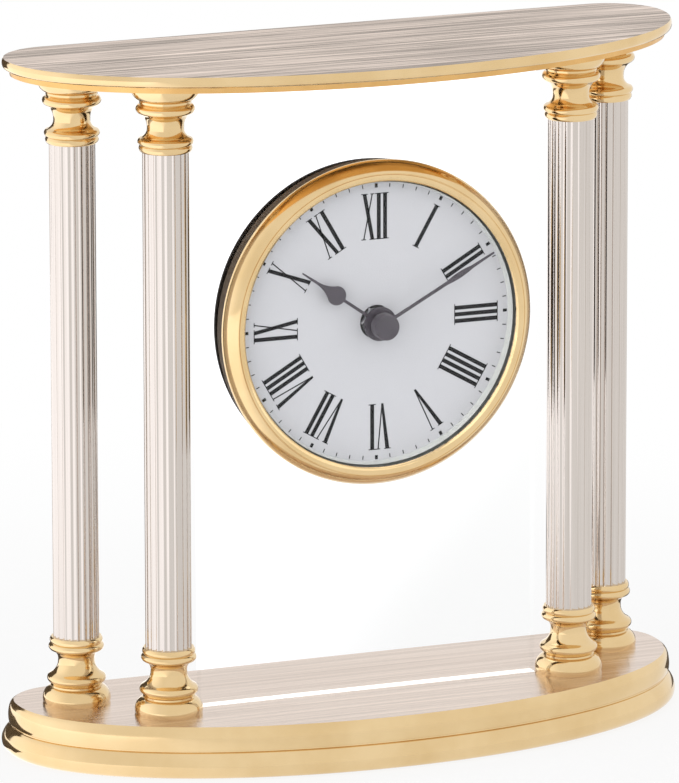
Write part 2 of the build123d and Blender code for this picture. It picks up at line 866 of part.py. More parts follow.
inner_half_width = case_half_width - case_wall
door_top = case_bottom + case_wall + cell_clearance + 2 * cell_radius
with BuildPart() as movement_rear_shell:
    with BuildSketch(facing(case_back)):
        with Locations((0, (case_top + case_bottom) / 2)):
            Rectangle(2 * case_half_width, case_top - case_bottom)
    extrude(amount=case_back - plate_back)
    with BuildSketch(facing(rear_wall_front)):
        with Locations((0, (case_top + case_bottom) / 2)):
            Rectangle(2 * inner_half_width, case_top - case_bottom - 2 * case_wall)
    extrude(amount=rear_wall_front - plate_back, mode=Mode.SUBTRACT)
    with BuildSketch(facing(case_back)):
        with Locations((0, (door_top + door_clearance + case_bottom) / 2)):
            Rectangle(2 * inner_half_width, door_top + door_clearance - case_bottom)
    extrude(amount=case_wall, mode=Mode.SUBTRACT)
    with BuildSketch(facing(rear_wall_front + door_clearance + door_tongue_thickness + door_clearance)):
        with Locations((0, (door_top + door_clearance + case_bottom) / 2)):
            Rectangle(
                2 * (inner_half_width + door_tongue + door_clearance), door_top + door_clearance - case_bottom
            )
    extrude(amount=door_tongue_thickness + 2 * door_clearance, mode=Mode.SUBTRACT)
    with BuildSketch(facing(case_back)):
        with Locations(motion_place):
            Circle(motion_arbor_radius + running)
    extrude(amount=case_wall, mode=Mode.SUBTRACT)
movement_rear_shell.part.label = "movement_rear_shell"
export_step(movement_rear_shell.part, "parts/movement_rear_shell.step")

bridge_low = post_low - bridge_margin
bridge_high = post_high + bridge_margin
bridge_right = post_x + bridge_margin
with BuildPart() as train_bridge:
    with BuildSketch(facing(bridge_back)):
        with Locations(((bridge_end_x + bridge_right) / 2, (bridge_low + bridge_high) / 2)):
            Rectangle(bridge_right - bridge_end_x, bridge_high - bridge_low)
        with Locations(third_place, intermediate_place, rotor_place):
            Circle(arbor_radius + running, mode=Mode.SUBTRACT)
        Circle(seconds_arbor_radius + running, mode=Mode.SUBTRACT)
        with Locations(motion_place):
            Circle(motion_arbor_radius + running, mode=Mode.SUBTRACT)
        with Locations(*posts):
            Circle(screw_radius + rod_clearance, mode=Mode.SUBTRACT)
    extrude(amount=bridge_thickness)
train_bridge.part.label = "train_bridge"
export_step(train_bridge.part, "parts/train_bridge.step")

with BuildPart() as bridge_screws:
    with BuildSketch(facing(bridge_back)):
        with Locations(*posts):
            Circle(screw_radius)
    extrude(amount=screw_length)
    with BuildSketch(facing(bridge_back)):
        with Locations(*posts):
            Circle(screw_head_radius)
    extrude(amount=-screw_head_height)
bridge_screws.part.label = "bridge_screws"
export_step(bridge_screws.part, "parts/bridge_screws.step")

# Motion work in front: cannon pinion, motion wheel, hour wheel

cannon_back = dial_back + cannon_level + pinion_length
with BuildPart() as cannon_pinion:
    with BuildSketch(facing(cannon_back)):
        add(toothed_face(cannon_teeth, cannon_module, motion_angle))
    extrude(amount=pinion_length)
    with BuildSketch(facing(cannon_back)):
        Circle(cannon_radius)
    extrude(amount=cannon_back - cannon_front)
    with BuildSketch(facing(cannon_back + cannon_tail_length)):
        Circle(cannon_tail_radius)
    extrude(amount=cannon_tail_length)
    with BuildSketch(facing(cannon_back + cannon_tail_length)):
        Circle(arbor_radius)
    extrude(amount=cannon_back + cannon_tail_length - cannon_front, mode=Mode.SUBTRACT)
cannon_pinion.part.label = "cannon_pinion"
export_step(cannon_pinion.part, "parts/cannon_pinion.step")

hour_wheel_back = dial_back + hour_wheel_level + wheel_thickness
with BuildPart() as hour_wheel:
    with BuildSketch(facing(hour_wheel_back)):
        add(toothed_face(hour_teeth, hour_module, motion_angle + 180 / hour_teeth))
    extrude(amount=wheel_thickness)
    with BuildSketch(facing(hour_wheel_back)):
        Circle(hour_pipe_radius)
    extrude(amount=hour_wheel_back - hour_pipe_front)
    with BuildSketch(facing(hour_wheel_back)):
        Circle(hour_pipe_bore)
    extrude(amount=hour_wheel_back - hour_pipe_front, mode=Mode.SUBTRACT)
hour_wheel.part.label = "hour_wheel"
export_step(hour_wheel.part, "parts/hour_wheel.step")

knob_front = case_back + knob_gap
motion_pinion_back = hour_wheel_back + wheel_thickness / 2
with BuildPart() as motion_wheel:
    with BuildSketch(facing(dial_back + motion_wheel_level + wheel_thickness)):
        with Locations(motion_place):
            add(toothed_face(motion_teeth, cannon_module, motion_angle + 180 + 180 / motion_teeth))
    extrude(amount=wheel_thickness)
    with BuildSketch(facing(dial_back + motion_wheel_level)):
        with Locations(motion_place):
            add(toothed_face(motion_pinion_teeth, hour_module, motion_angle + 180))
    extrude(amount=motion_wheel_level - hour_wheel_level + (pinion_length - wheel_thickness) / 2)
    with BuildSketch(facing(knob_front + knob_socket)):
        with Locations(motion_place):
            Circle(motion_arbor_radius)
    extrude(amount=knob_front + knob_socket - arbor_front)
motion_wheel.part.label = "motion_wheel"
export_step(motion_wheel.part, "parts/motion_wheel.step")

with BuildPart() as setting_knob:
    with BuildSketch(facing(knob_front + knob_height)):
        with Locations(motion_place):
            add(toothed_face(knob_ribs, 2 * knob_radius / (knob_ribs + 2 * tooth_tip_share), 0, knob_tooth_share))
    extrude(amount=knob_height)
    with BuildSketch(facing(knob_front)):
        with Locations(motion_place):
            Circle(motion_arbor_radius + thread_clearance)
    extrude(amount=-knob_socket - thread_clearance, mode=Mode.SUBTRACT)
setting_knob.part.label = "setting_knob"
export_step(setting_knob.part, "parts/setting_knob.step")

# Going train behind it: centre wheel, third wheel, seconds wheel, intermediate
# wheel and rotor, each wheel with the pinion of the next

centre_front = dial_back + centre_wheel_level
with BuildPart() as centre_wheel:
    with BuildSketch(facing(centre_front + wheel_thickness)):
        add(toothed_face(centre_teeth, centre_module, third_angle))
    extrude(amount=wheel_thickness)
    with BuildSketch(facing(centre_front + centre_hub_length)):
        Circle(centre_hub_radius)
    extrude(amount=centre_hub_length)
    with BuildSketch(facing(centre_front + centre_hub_length)):
        Circle(cannon_tail_radius + running)
    extrude(amount=centre_hub_length, mode=Mode.SUBTRACT)
centre_wheel.part.label = "centre_wheel"
export_step(centre_wheel.part, "parts/centre_wheel.step")

third_front = dial_back + third_wheel_level
third_pinion_front = centre_front - (pinion_length - wheel_thickness) / 2
with BuildPart() as third_wheel:
    with BuildSketch(facing(third_front + wheel_thickness)):
        with Locations(third_place):
            add(toothed_face(third_teeth, third_module, third_angle + 180))
    extrude(amount=wheel_thickness)
    with BuildSketch(facing(third_pinion_front + pinion_length)):
        with Locations(third_place):
            add(toothed_face(third_pinion_teeth, centre_module, third_angle + 180 + 180 / third_pinion_teeth))
    extrude(amount=pinion_length)
    with BuildSketch(facing(third_front)):
        with Locations(third_place):
            Circle(collar_radius)
    extrude(amount=third_front - third_pinion_front)
    with BuildSketch(facing(arbor_back)):
        with Locations(third_place):
            Circle(arbor_radius)
    extrude(amount=arbor_back - arbor_front)
third_wheel.part.label = "third_wheel"
export_step(third_wheel.part, "parts/third_wheel.step")

seconds_front = dial_back + seconds_wheel_level
seconds_pinion_front = third_front - (pinion_length - wheel_thickness) / 2
seconds_arbor_front = cannon_back - pinion_length
with BuildPart() as seconds_wheel:
    with BuildSketch(facing(seconds_front + wheel_thickness)):
        add(toothed_face(seconds_teeth, seconds_module, intermediate_angle))
    extrude(amount=wheel_thickness)
    with BuildSketch(facing(seconds_pinion_front + pinion_length)):
        add(toothed_face(seconds_pinion_teeth, third_module, third_angle + 180 / seconds_pinion_teeth))
    extrude(amount=pinion_length)
    with BuildSketch(facing(seconds_front)):
        Circle(collar_radius)
    extrude(amount=seconds_front - seconds_pinion_front)
    with BuildSketch(facing(arbor_back)):
        Circle(seconds_arbor_radius)
    extrude(amount=arbor_back - seconds_arbor_front)
seconds_wheel.part.label = "seconds_wheel"
export_step(seconds_wheel.part, "parts/seconds_wheel.step")

intermediate_front = dial_back + intermediate_wheel_level
intermediate_pinion_front = seconds_front - (pinion_length - wheel_thickness) / 2
with BuildPart() as intermediate_wheel:
    with BuildSketch(facing(intermediate_front + wheel_thickness)):
        with Locations(intermediate_place):
            add(toothed_face(intermediate_teeth, rotor_module, rotor_angle))
    extrude(amount=wheel_thickness)
    with BuildSketch(facing(intermediate_pinion_front + pinion_length)):
        with Locations(intermediate_place):
            add(
                toothed_face(
                    intermediate_pinion_teeth, seconds_module,
                    intermediate_angle + 180 + 180 / intermediate_pinion_teeth,
                )
            )
    extrude(amount=pinion_length)
    with BuildSketch(facing(intermediate_front)):
        with Locations(intermediate_place):
            Circle(collar_radius)
    extrude(amount=intermediate_front - intermediate_pinion_front)
    with BuildSketch(facing(arbor_back)):
        with Locations(intermediate_place):
            Circle(arbor_radius)
    extrude(amount=arbor_back - arbor_front)
intermediate_wheel.part.label = "intermediate_wheel"
export_step(intermediate_wheel.part, "parts/intermediate_wheel.step")

magnet_front = dial_back + rotor_level
rotor_pinion_front = intermediate_front - (pinion_length - wheel_thickness) / 2
with BuildPart() as rotor:
    with BuildSketch(facing(magnet_front + magnet_length)):
        with Locations(rotor_place):
            Circle(magnet_radius)
    extrude(amount=magnet_length)
    with BuildSketch(facing(rotor_pinion_front + pinion_length)):
        with Locations(rotor_place):
            add(
                toothed_face(
                    rotor_pinion_teeth, rotor_module, rotor_angle + 180 + 180 / rotor_pinion_teeth
                )
            )
    extrude(amount=pinion_length)
    with BuildSketch(facing(magnet_front)):
        with Locations(rotor_place):
            Circle(rotor_collar_radius)
    extrude(amount=magnet_front - rotor_pinion_front)
    with BuildSketch(facing(arbor_back)):
        with Locations(rotor_place):
            Circle(arbor_radius)
    extrude(amount=arbor_back - arbor_front)
rotor.part.label = "rotor"
export_step(rotor.part, "parts/rotor.step")

# Stator, coil and circuit board

stator_back = dial_back + stator_level + stator_thickness
core_y = stator_back - stator_thickness / 2
with BuildPart() as stator:
    with BuildSketch(facing(stator_back)):
        with Locations((0, (stator_low + stator_bar_top) / 2)):
            Rectangle(2 * stator_half_width, stator_bar_top - stator_low)
        with Locations((0, coil_height)):
            Rectangle(2 * stator_half_width, core_width)
        for side in (-1, 1):
            with Locations((side * stator_arm_x, (stator_low + coil_height) / 2)):
                Rectangle(stator_arm, coil_height - stator_low)
        with Locations(rotor_place):
            Circle(magnet_radius + stator_air_gap, mode=Mode.SUBTRACT)
        with Locations(intermediate_place):
            Circle(arbor_radius + arbor_hole_play, mode=Mode.SUBTRACT)
    extrude(amount=stator_thickness)
stator.part.label = "stator"
export_step(stator.part, "parts/stator.step")

coil_half_length = stator_half_width - stator_arm - core_clearance
coil_section = Plane(origin=(0, core_y, dial_height + coil_height), x_dir=(0, 1, 0), z_dir=(1, 0, 0))
with BuildPart() as coil_bobbin:
    with BuildSketch(coil_section.offset(-coil_half_length)):
        Circle(bobbin_radius)
    extrude(amount=2 * coil_half_length)
    for start in (-coil_half_length, coil_half_length - flange_thickness):
        with BuildSketch(coil_section.offset(start)):
            Circle(flange_radius)
        extrude(amount=flange_thickness)
    with BuildSketch(coil_section.offset(-coil_half_length)):
        Rectangle(stator_thickness + 2 * core_clearance, core_width + 2 * core_clearance)
    extrude(amount=2 * coil_half_length, mode=Mode.SUBTRACT)
coil_bobbin.part.label = "coil_bobbin"
export_step(coil_bobbin.part, "parts/coil_bobbin.step")

with BuildPart() as coil_winding:
    with BuildSketch(coil_section.offset(flange_thickness - coil_half_length)):
        Circle(winding_radius)
        Circle(bobbin_radius + winding_clearance, mode=Mode.SUBTRACT)
    extrude(amount=2 * (coil_half_length - flange_thickness))
coil_winding.part.label = "coil_winding"
export_step(coil_winding.part, "parts/coil_winding.step")

with BuildPart() as circuit_board:
    with BuildSketch(facing(bridge_back + board_thickness)):
        with Locations((bridge_end_x + board_width / 2, board_low + board_height / 2)):
            Rectangle(board_width, board_height)
    extrude(amount=board_thickness)
circuit_board.part.label = "circuit_board"
export_step(circuit_board.part, "parts/circuit_board.step")

# Cell and contacts

cell_z = case_bottom + case_wall + cell_clearance + cell_radius
cell_y = rear_wall_front + door_clearance - cell_door_gap - cell_radius
cell_section = Plane(origin=(0, cell_y, dial_height + cell_z), x_dir=(0, 1, 0), z_dir=(1, 0, 0))
with BuildPart() as battery:
    with BuildSketch(cell_section.offset(-cell_length / 2)):
        Circle(cell_radius)
    extrude(amount=cell_length - cell_nub_length)
    with BuildSketch(cell_section.offset(cell_length / 2 - cell_nub_length)):
        Circle(cell_nub_radius)
    extrude(amount=cell_nub_length)
battery.part.label = "battery"
export_step(battery.part, "parts/battery.step")

contact_reach = inner_half_width - cell_length / 2 - contact_gap
with BuildPart() as battery_contact_positive:
    with BuildSketch(cell_section.offset(inner_half_width - contact_thickness)):
        Rectangle(contact_width, contact_height)
    extrude(amount=contact_thickness)
    with BuildSketch(cell_section.offset(inner_half_width - contact_reach)):
        Circle(contact_boss_radius)
    extrude(amount=contact_reach)
battery_contact_positive.part.label = "battery_contact_positive"
export_step(battery_contact_positive.part, "parts/battery_contact_positive.step")

with BuildPart() as battery_contact_negative:
    with BuildSketch(cell_section.offset(-inner_half_width)):
        Rectangle(contact_width, contact_height)
    extrude(amount=contact_thickness)
    with BuildSketch(Plane.XY.offset(dial_height + cell_z - contact_height / 4)):
        with BuildLine():
            Polyline(
                (contact_thickness - inner_half_width, cell_y - contact_width / 2),
                (contact_reach - inner_half_width, cell_y),
                (contact_thickness - inner_half_width, cell_y + contact_width / 2),
                (contact_thickness - inner_half_width, cell_y + contact_width / 2 - 2 * spring_leaf_thickness),
                (contact_reach - inner_half_width - spring_leaf_thickness, cell_y),
                (contact_thickness - inner_half_width, cell_y - contact_width / 2 + 2 * spring_leaf_thickness),
                close=True,
            )
        make_face()
    extrude(amount=contact_height / 2)
battery_contact_negative.part.label = "battery_contact_negative"
export_step(battery_contact_negative.part, "parts/battery_contact_negative.step")

# The door slides down in two grooves, and has ribs for the thumb.

door_front = rear_wall_front + door_clearance
door_height = door_top - case_bottom
with BuildPart() as battery_door:
    with BuildSketch(facing(case_back)):
        with Locations((0, case_bottom + door_height / 2)):
            Rectangle(2 * (inner_half_width - door_clearance), door_height)
    extrude(amount=door_thickness)
    with BuildSketch(facing(door_front + door_tongue_thickness)):
        with Locations((0, case_bottom + door_height / 2)):
            Rectangle(2 * (inner_half_width + door_tongue), door_height)
    extrude(amount=door_tongue_thickness)
    with BuildSketch(facing(case_back)):
        for rib in range(door_grip_ribs):
            with Locations((0, case_bottom + door_height / 2 + (rib - 1) * door_grip_step)):
                Rectangle(door_grip_width, door_grip_height)
    extrude(amount=-door_grip_rise)
battery_door.part.label = "battery_door"
export_step(battery_door.part, "parts/battery_door.step")
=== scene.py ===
# %% [markdown]
# # A column table clock in brass, silver and glass
# The clock has a D-shaped brass base and top plate, four fluted silver columns
# between turned brass ferrules, and a sheet of clear glass in a slot between
# the two front columns. A round quartz insert with a brass bezel sits in a hole
# in the glass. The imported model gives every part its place, so each piece
# is modelled at its real size where the clock has it and rides on its body.

import math

import bmesh
import bpy
from mathutils import Matrix, Vector
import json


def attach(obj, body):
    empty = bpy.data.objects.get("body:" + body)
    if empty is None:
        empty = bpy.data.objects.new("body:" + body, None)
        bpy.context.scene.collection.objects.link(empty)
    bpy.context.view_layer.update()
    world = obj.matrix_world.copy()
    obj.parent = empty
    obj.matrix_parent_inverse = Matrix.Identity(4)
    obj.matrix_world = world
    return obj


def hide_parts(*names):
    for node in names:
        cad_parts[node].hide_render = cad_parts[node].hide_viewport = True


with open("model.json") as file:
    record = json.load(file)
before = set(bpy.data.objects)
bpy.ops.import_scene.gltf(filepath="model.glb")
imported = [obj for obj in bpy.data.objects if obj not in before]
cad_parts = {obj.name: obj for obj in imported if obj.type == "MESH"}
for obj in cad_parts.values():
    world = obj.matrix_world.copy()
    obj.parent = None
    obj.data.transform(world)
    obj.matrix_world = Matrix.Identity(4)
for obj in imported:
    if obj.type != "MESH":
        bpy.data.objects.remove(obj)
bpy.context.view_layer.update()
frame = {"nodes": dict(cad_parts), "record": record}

# %% [markdown]
# ## Working as at the bench
# An operator acts on all that is selected, so every step starts by letting go
# of everything and taking up one piece. Vertices and faces are then picked by
# where they are. Sizes are in millimetres and turned into the frame's metres.

# %% Take up a piece and pick parts of it
mm = 0.001
tiny = 1e-6  # metres: places that differ by less count as the same
CASE = "clock_case"


def to_object():
    bpy.ops.object.mode_set(mode="OBJECT")


def clear():
    if bpy.context.object and bpy.context.object.mode != "OBJECT":
        to_object()
    bpy.ops.object.select_all(action="DESELECT")


def take(piece):
    clear()
    piece.select_set(True)
    bpy.context.view_layer.objects.active = piece


def edit(piece):
    take(piece)
    bpy.ops.object.mode_set(mode="EDIT")


def settle():
    """Applies place, turn and size to the mesh of the selected object."""
    bpy.ops.object.transform_apply(location=True, rotation=True, scale=True)


def select_all(kind=None):
    """Selects the whole mesh in edit mode, as points or as faces if a kind is named."""
    if kind:
        bpy.ops.mesh.select_mode(type=kind)
    bpy.ops.mesh.select_all(action="SELECT")


def pick(test, kind="VERT"):
    """Selects, in edit mode, the points or faces whose place (and normal) pass the test."""
    bpy.ops.mesh.select_mode(type=kind)
    bpy.ops.mesh.select_all(action="DESELECT")
    data = bpy.context.edit_object.data
    mesh = bmesh.from_edit_mesh(data)
    if kind == "FACE":
        found = [f for f in mesh.faces if test(f.calc_center_median(), f.normal)]
    else:
        found = [v for v in mesh.verts if test(v.co)]
    for part in found:
        part.select = True
    mesh.select_flush_mode()
    bmesh.update_edit_mesh(data)


def extrude(x, y, z):
    """Extrudes the selection by one step (metres)."""
    bpy.ops.mesh.extrude_region_move(TRANSFORM_OT_translate={"value": (x, y, z)})


def close_up():
    """Merges doubled points and turns all faces outwards, then leaves edit mode."""
    select_all()
    bpy.ops.mesh.remove_doubles(threshold=2 * tiny)
    bpy.ops.mesh.normals_make_consistent(inside=False)
    to_object()


print("bench ready")

# %% [markdown]
# ## Turned work
# Ferrules, bezel, crystal and cup are all turned on a lathe on the real clock.
# A lathe part is one outline spun about an axis. The outline is drawn as by
# hand, one point extruded from place to place, and then spun a full turn, so
# each radius in the list can be measured with calipers on the finished part.

# %% Draw an outline and spin it
def chain(points):
    """One vertex extruded from point to point (metres); stays in edit mode."""
    clear()
    bpy.ops.mesh.primitive_plane_add(size=mm, location=points[0])
    piece = bpy.context.object
    settle()
    edit(piece)
    select_all("VERT")
    bpy.ops.mesh.merge(type="CENTER")
    for here, there in zip(points, points[1:]):
        extrude(*(Vector(there) - Vector(here)))
    return piece


def arc(start, middle, end, count=8):
    """Points on the circle through three points, without the first of them."""
    (ax, ay), (bx, by), (cx, cy) = start, middle, end
    turn = 2 * (ax * (by - cy) + bx * (cy - ay) + cx * (ay - by))
    aa, bb, cc = ax * ax + ay * ay, bx * bx + by * by, cx * cx + cy * cy
    ux = (aa * (by - cy) + bb * (cy - ay) + cc * (ay - by)) / turn
    uy = (aa * (cx - bx) + bb * (ax - cx) + cc * (bx - ax)) / turn
    radius = math.hypot(ax - ux, ay - uy)
    first = math.atan2(ay - uy, ax - ux)
    sweep = (math.atan2(cy - uy, cx - ux) - first) % math.tau
    if (math.atan2(by - uy, bx - ux) - first) % math.tau > sweep:
        sweep -= math.tau
    angles = [first + sweep * i / count for i in range(1, count + 1)]
    return [(ux + radius * math.cos(a), uy + radius * math.sin(a)) for a in angles]


def trace(start, steps, wide, tall):
    """An outline through (middle, end) steps in shares of wide and tall; no middle means straight."""
    line = [start]
    for middle, end in steps:
        stop = (end[0] * wide, end[1] * tall)
        if middle:
            line += arc(line[-1], (middle[0] * wide, middle[1] * tall), stop)
        else:
            line.append(stop)
    return line


dial_height = 106.1
dial_centre = (0, 0, dial_height * mm)


def turned(profile, steps, upright=False):
    """Spins (radius, depth) about the dial's axis, or (radius, height) about the Z axis."""
    if upright:
        points = [(r * mm, 0, h * mm) for r, h in profile]
        centre, axis = (0, 0, 0), (0, 0, 1)
    else:
        points = [(r * mm, y * mm, dial_height * mm) for r, y in profile]
        centre, axis = dial_centre, (0, 1, 0)
    piece = chain(points)
    select_all()
    bpy.ops.mesh.spin(steps=steps, angle=math.tau, center=centre, axis=axis)
    close_up()
    return piece


print("an arc of three points gives", len(arc((0, 0), (1, 1), (2, 0))), "points")

# %% [markdown]
# ## Cutting and copying
# Slots and holes are milled out of a finished blank, which is what a Boolean
# does. What the clock has several of is modelled once, and each copy gets a
# mesh of its own, so that it can be placed, exported and repainted by itself.

# %% Blocks, cuts and copies
def block(low, high):
    clear()
    middle = [(a + b) / 2 * mm for a, b in zip(low, high)]
    bpy.ops.mesh.primitive_cube_add(size=1, location=middle)
    piece = bpy.context.object
    piece.scale = [(b - a) * mm for a, b in zip(low, high)]
    settle()
    return piece


def cut(piece, tool):
    take(piece)
    mill = piece.modifiers.new("mill", "BOOLEAN")
    mill.object, mill.operation, mill.solver = tool, "DIFFERENCE", "EXACT"
    bpy.ops.object.modifier_apply(modifier=mill.name)
    bpy.data.objects.remove(tool)


def copy_of(piece, place=(0, 0, 0), scale=(1, 1, 1)):
    take(piece)
    bpy.ops.object.duplicate()
    twin = bpy.context.object
    twin.location = [c * mm for c in place]
    twin.scale = scale
    settle()
    if scale[0] * scale[1] * scale[2] < 0:
        edit(twin)
        close_up()
    return twin


print("tools: block, cut, copy_of")

# %% [markdown]
# ## Handing a piece over
# Every finished piece gets its place applied to its mesh, smooth shading that
# keeps the sharp edges and the body it moves with, and the imported nodes it
# stands for are hidden. Unless it is painted already, it takes the finish of
# the slot named for it.

# %% Finish a piece
finishes = {}
made = []


def hand_over(piece, name, slot, *nodes, body=CASE, angle=32):
    take(piece)
    settle()
    bpy.ops.object.shade_smooth_by_angle(angle=math.radians(angle))
    piece.name = piece.data.name = name
    if not piece.data.materials:
        piece.data.materials.append(finishes[slot])
    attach(piece, body)
    if nodes:
        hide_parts(*nodes)
    made.append(name)


print("ready to hand over")

# %% [markdown]
# ## Effects that several finishes share
# Three effects return on many surfaces. Brushing is a set of long fine scratches
# all one way, handling is the faint cloudiness that hands and cloths leave on
# polish, and grain is the tiny unevenness of cast, moulded or woven stuff. Each
# is one node group with its own inputs, so a material only states its numbers.

# %% Build a node group from a short list
def group(name, inputs, outputs):
    tree = bpy.data.node_groups.new(name, "ShaderNodeTree")
    kinds = {"f": "NodeSocketFloat", "c": "NodeSocketColor", "v": "NodeSocketVector"}
    for label, kind in inputs:
        tree.interface.new_socket(name=label, in_out="INPUT", socket_type=kinds[kind])
    for label, kind in outputs:
        tree.interface.new_socket(name=label, in_out="OUTPUT", socket_type=kinds[kind])
    return tree, tree.nodes.new("NodeGroupInput"), tree.nodes.new("NodeGroupOutput")


def state(node, values):
    """Writes constants on a node's own inputs."""
    for key, value in values.items():
        node.inputs[key].default_value = value


MIX_FIRST, MIX_SECOND, MIX_RESULT = 6, 7, 2  # the colour sockets of a Mix node


def add(tree, kind, values=None, **settings):
    node = tree.nodes.new("ShaderNode" + kind)
    for key, value in settings.items():
        setattr(node, key, value)
    state(node, values or {})
    return node


def join(tree, *pairs):
    for source, target in pairs:
        tree.links.new(source, target)


def effect_group(name, first_tone, second_tone, marks, kind, bump_strength):
    """The inputs and outputs that all the effects have, with the bump joined up."""
    inputs = [(first_tone, "c"), (second_tone, "c"), (marks, kind)]
    inputs += [(label, "f") for label in ("Fine", "Rough", "Depth")]
    tree, enter, leave = group(name, inputs, [("Color", "c"), ("Roughness", "f"), ("Normal", "v")])
    bump = add(tree, "Bump", {"Strength": bump_strength})
    join(
        tree,
        (enter.outputs["Depth"], bump.inputs["Distance"]),
        (bump.outputs["Normal"], leave.inputs["Normal"]),
    )
    return tree, enter.outputs, leave.inputs, bump.inputs["Height"]


def tone_and_roughness(tree, amount, enter, leave, low_tone, high_tone):
    """One value from 0 to 1 moves the tone and the roughness between their ends."""
    tones = add(tree, "Mix", data_type="RGBA")
    span = add(tree, "MapRange")
    join(
        tree,
        (amount, tones.inputs[0]),
        (enter[low_tone], tones.inputs[MIX_FIRST]),
        (enter[high_tone], tones.inputs[MIX_SECOND]),
        (tones.outputs[MIX_RESULT], leave["Color"]),
        (amount, span.inputs["Value"]),
        (enter["Fine"], span.inputs["To Min"]),
        (enter["Rough"], span.inputs["To Max"]),
        (span.outputs["Result"], leave["Roughness"]),
    )


print("group helpers ready")

# %% [markdown]
# Brushing: noise that is squeezed across the stroke and stretched along it. The
# Stretch vector sets the direction and the fineness, in marks per metre. The
# same noise drives tone, roughness and a very shallow bump, because on metal
# one scratch changes all three.

# %% The brushing group
brushing, enter, leave, height = effect_group(
    "brushed_strokes", "Light Tone", "Dark Tone", "Stretch", "v", bump_strength=0.35)
place = add(brushing, "TexCoord").outputs["Object"]
stretch = add(brushing, "VectorMath", operation="MULTIPLY")
strokes = add(brushing, "TexNoise", {"Scale": 1.0, "Detail": 5.0, "Roughness": 0.62})
sharpen = add(brushing, "MapRange", {"From Min": 0.32, "From Max": 0.68})
join(
    brushing,
    (place, stretch.inputs[0]),
    (enter["Stretch"], stretch.inputs[1]),
    (stretch.outputs[0], strokes.inputs["Vector"]),
    (strokes.outputs["Fac"], sharpen.inputs["Value"]),
    (sharpen.outputs["Result"], height),
)
tone_and_roughness(brushing, sharpen.outputs["Result"], enter, leave, "Dark Tone", "Light Tone")
print("group:", brushing.name)

# %% [markdown]
# Handling: polished metal is never even. A large soft noise moves the tone
# between fresh and slightly aged, a finer one lifts the roughness in faint
# clouds, and a slow waviness of a few micrometres bends reflections a little,
# as buffing on a wheel does.

# %% The handling group
handling, enter, leave, height = effect_group(
    "handled_polish", "Fresh Tone", "Aged Tone", "Clouds", "f", bump_strength=0.2)
place = add(handling, "TexCoord").outputs["Object"]
clouds = add(handling, "TexNoise", {"Detail": 4.0, "Roughness": 0.55})
soften = add(handling, "MapRange", {"From Min": 0.35, "From Max": 0.65})
waves = add(handling, "TexNoise", {"Scale": 260.0, "Detail": 2.0})
join(
    handling,
    (place, clouds.inputs["Vector"]),
    (enter["Clouds"], clouds.inputs["Scale"]),
    (clouds.outputs["Fac"], soften.inputs["Value"]),
    (place, waves.inputs["Vector"]),
    (waves.outputs["Fac"], height),
)
tone_and_roughness(handling, soften.outputs["Result"], enter, leave, "Fresh Tone", "Aged Tone")
print("group:", handling.name)

# %% [markdown]
# Grain: one noise at the size of the grain for tone and bump, and cells of the
# same size for the pores and flecks. It serves mould texture, paint, casting
# skin, cork and felt, which differ only in size, depth and tone.

# %% The grain group
graining, enter, leave, height = effect_group(
    "fine_grain", "Tone", "Fleck Tone", "Size", "f", bump_strength=0.5)
place = add(graining, "TexCoord").outputs["Object"]
grains = add(graining, "TexNoise", {"Detail": 6.0, "Roughness": 0.6})
cells = add(graining, "TexVoronoi", feature="F1")
blend = add(graining, "Math", operation="MULTIPLY")
flecks = add(graining, "MapRange", {"From Min": 0.12, "From Max": 0.42})
join(
    graining,
    (place, grains.inputs["Vector"]),
    (place, cells.inputs["Vector"]),
    (enter["Size"], grains.inputs["Scale"]),
    (enter["Size"], cells.inputs["Scale"]),
    (grains.outputs["Fac"], blend.inputs[0]),
    (cells.outputs["Distance"], blend.inputs[1]),
    (blend.outputs[0], flecks.inputs["Value"]),
    (flecks.outputs["Result"], height),
)
tone_and_roughness(graining, flecks.outputs["Result"], enter, leave, "Tone", "Fleck Tone")
print("group:", graining.name)

# %% [markdown]
# ## A material from one of the groups
# Color, roughness and normal come from the group; what is the same all over,
# such as how metallic it is or a clear lacquer, is set on the shader itself.
# Each finish below reads in the same order: its name, the effect, two tones,
# the size of the marks, the lowest and highest roughness, and the depth of the
# relief in micrometres.

# %% The material maker
BRUSH_MAP = "brush_lines"


def new_material(name):
    material = bpy.data.materials.new(name)
    material.use_nodes = True
    tree = material.node_tree
    return material, tree, tree.nodes["Principled BSDF"]


def finish_of(name, effect, first, second, marks, rough, microns, slot=None, along_uv=False, **constants):
    material, tree, shader = new_material(name)
    node = add(tree, "Group", node_tree=effect)
    values = ((*first, 1), (*second, 1), marks, *rough, microns * 1e-6)
    for socket, value in zip(node.inputs, values):
        socket.default_value = value
    state(shader, {label.replace("_", " "): value for label, value in constants.items()})
    for label, target in (("Color", "Base Color"), ("Roughness", "Roughness"), ("Normal", "Normal")):
        join(tree, (node.outputs[label], shader.inputs[target]))
    if along_uv:
        tangent = add(tree, "Tangent", direction_type="UV_MAP", uv_map=BRUSH_MAP)
        join(tree, (tangent.outputs[0], shader.inputs["Tangent"]))
    finishes[slot or name] = material


print("material maker ready")
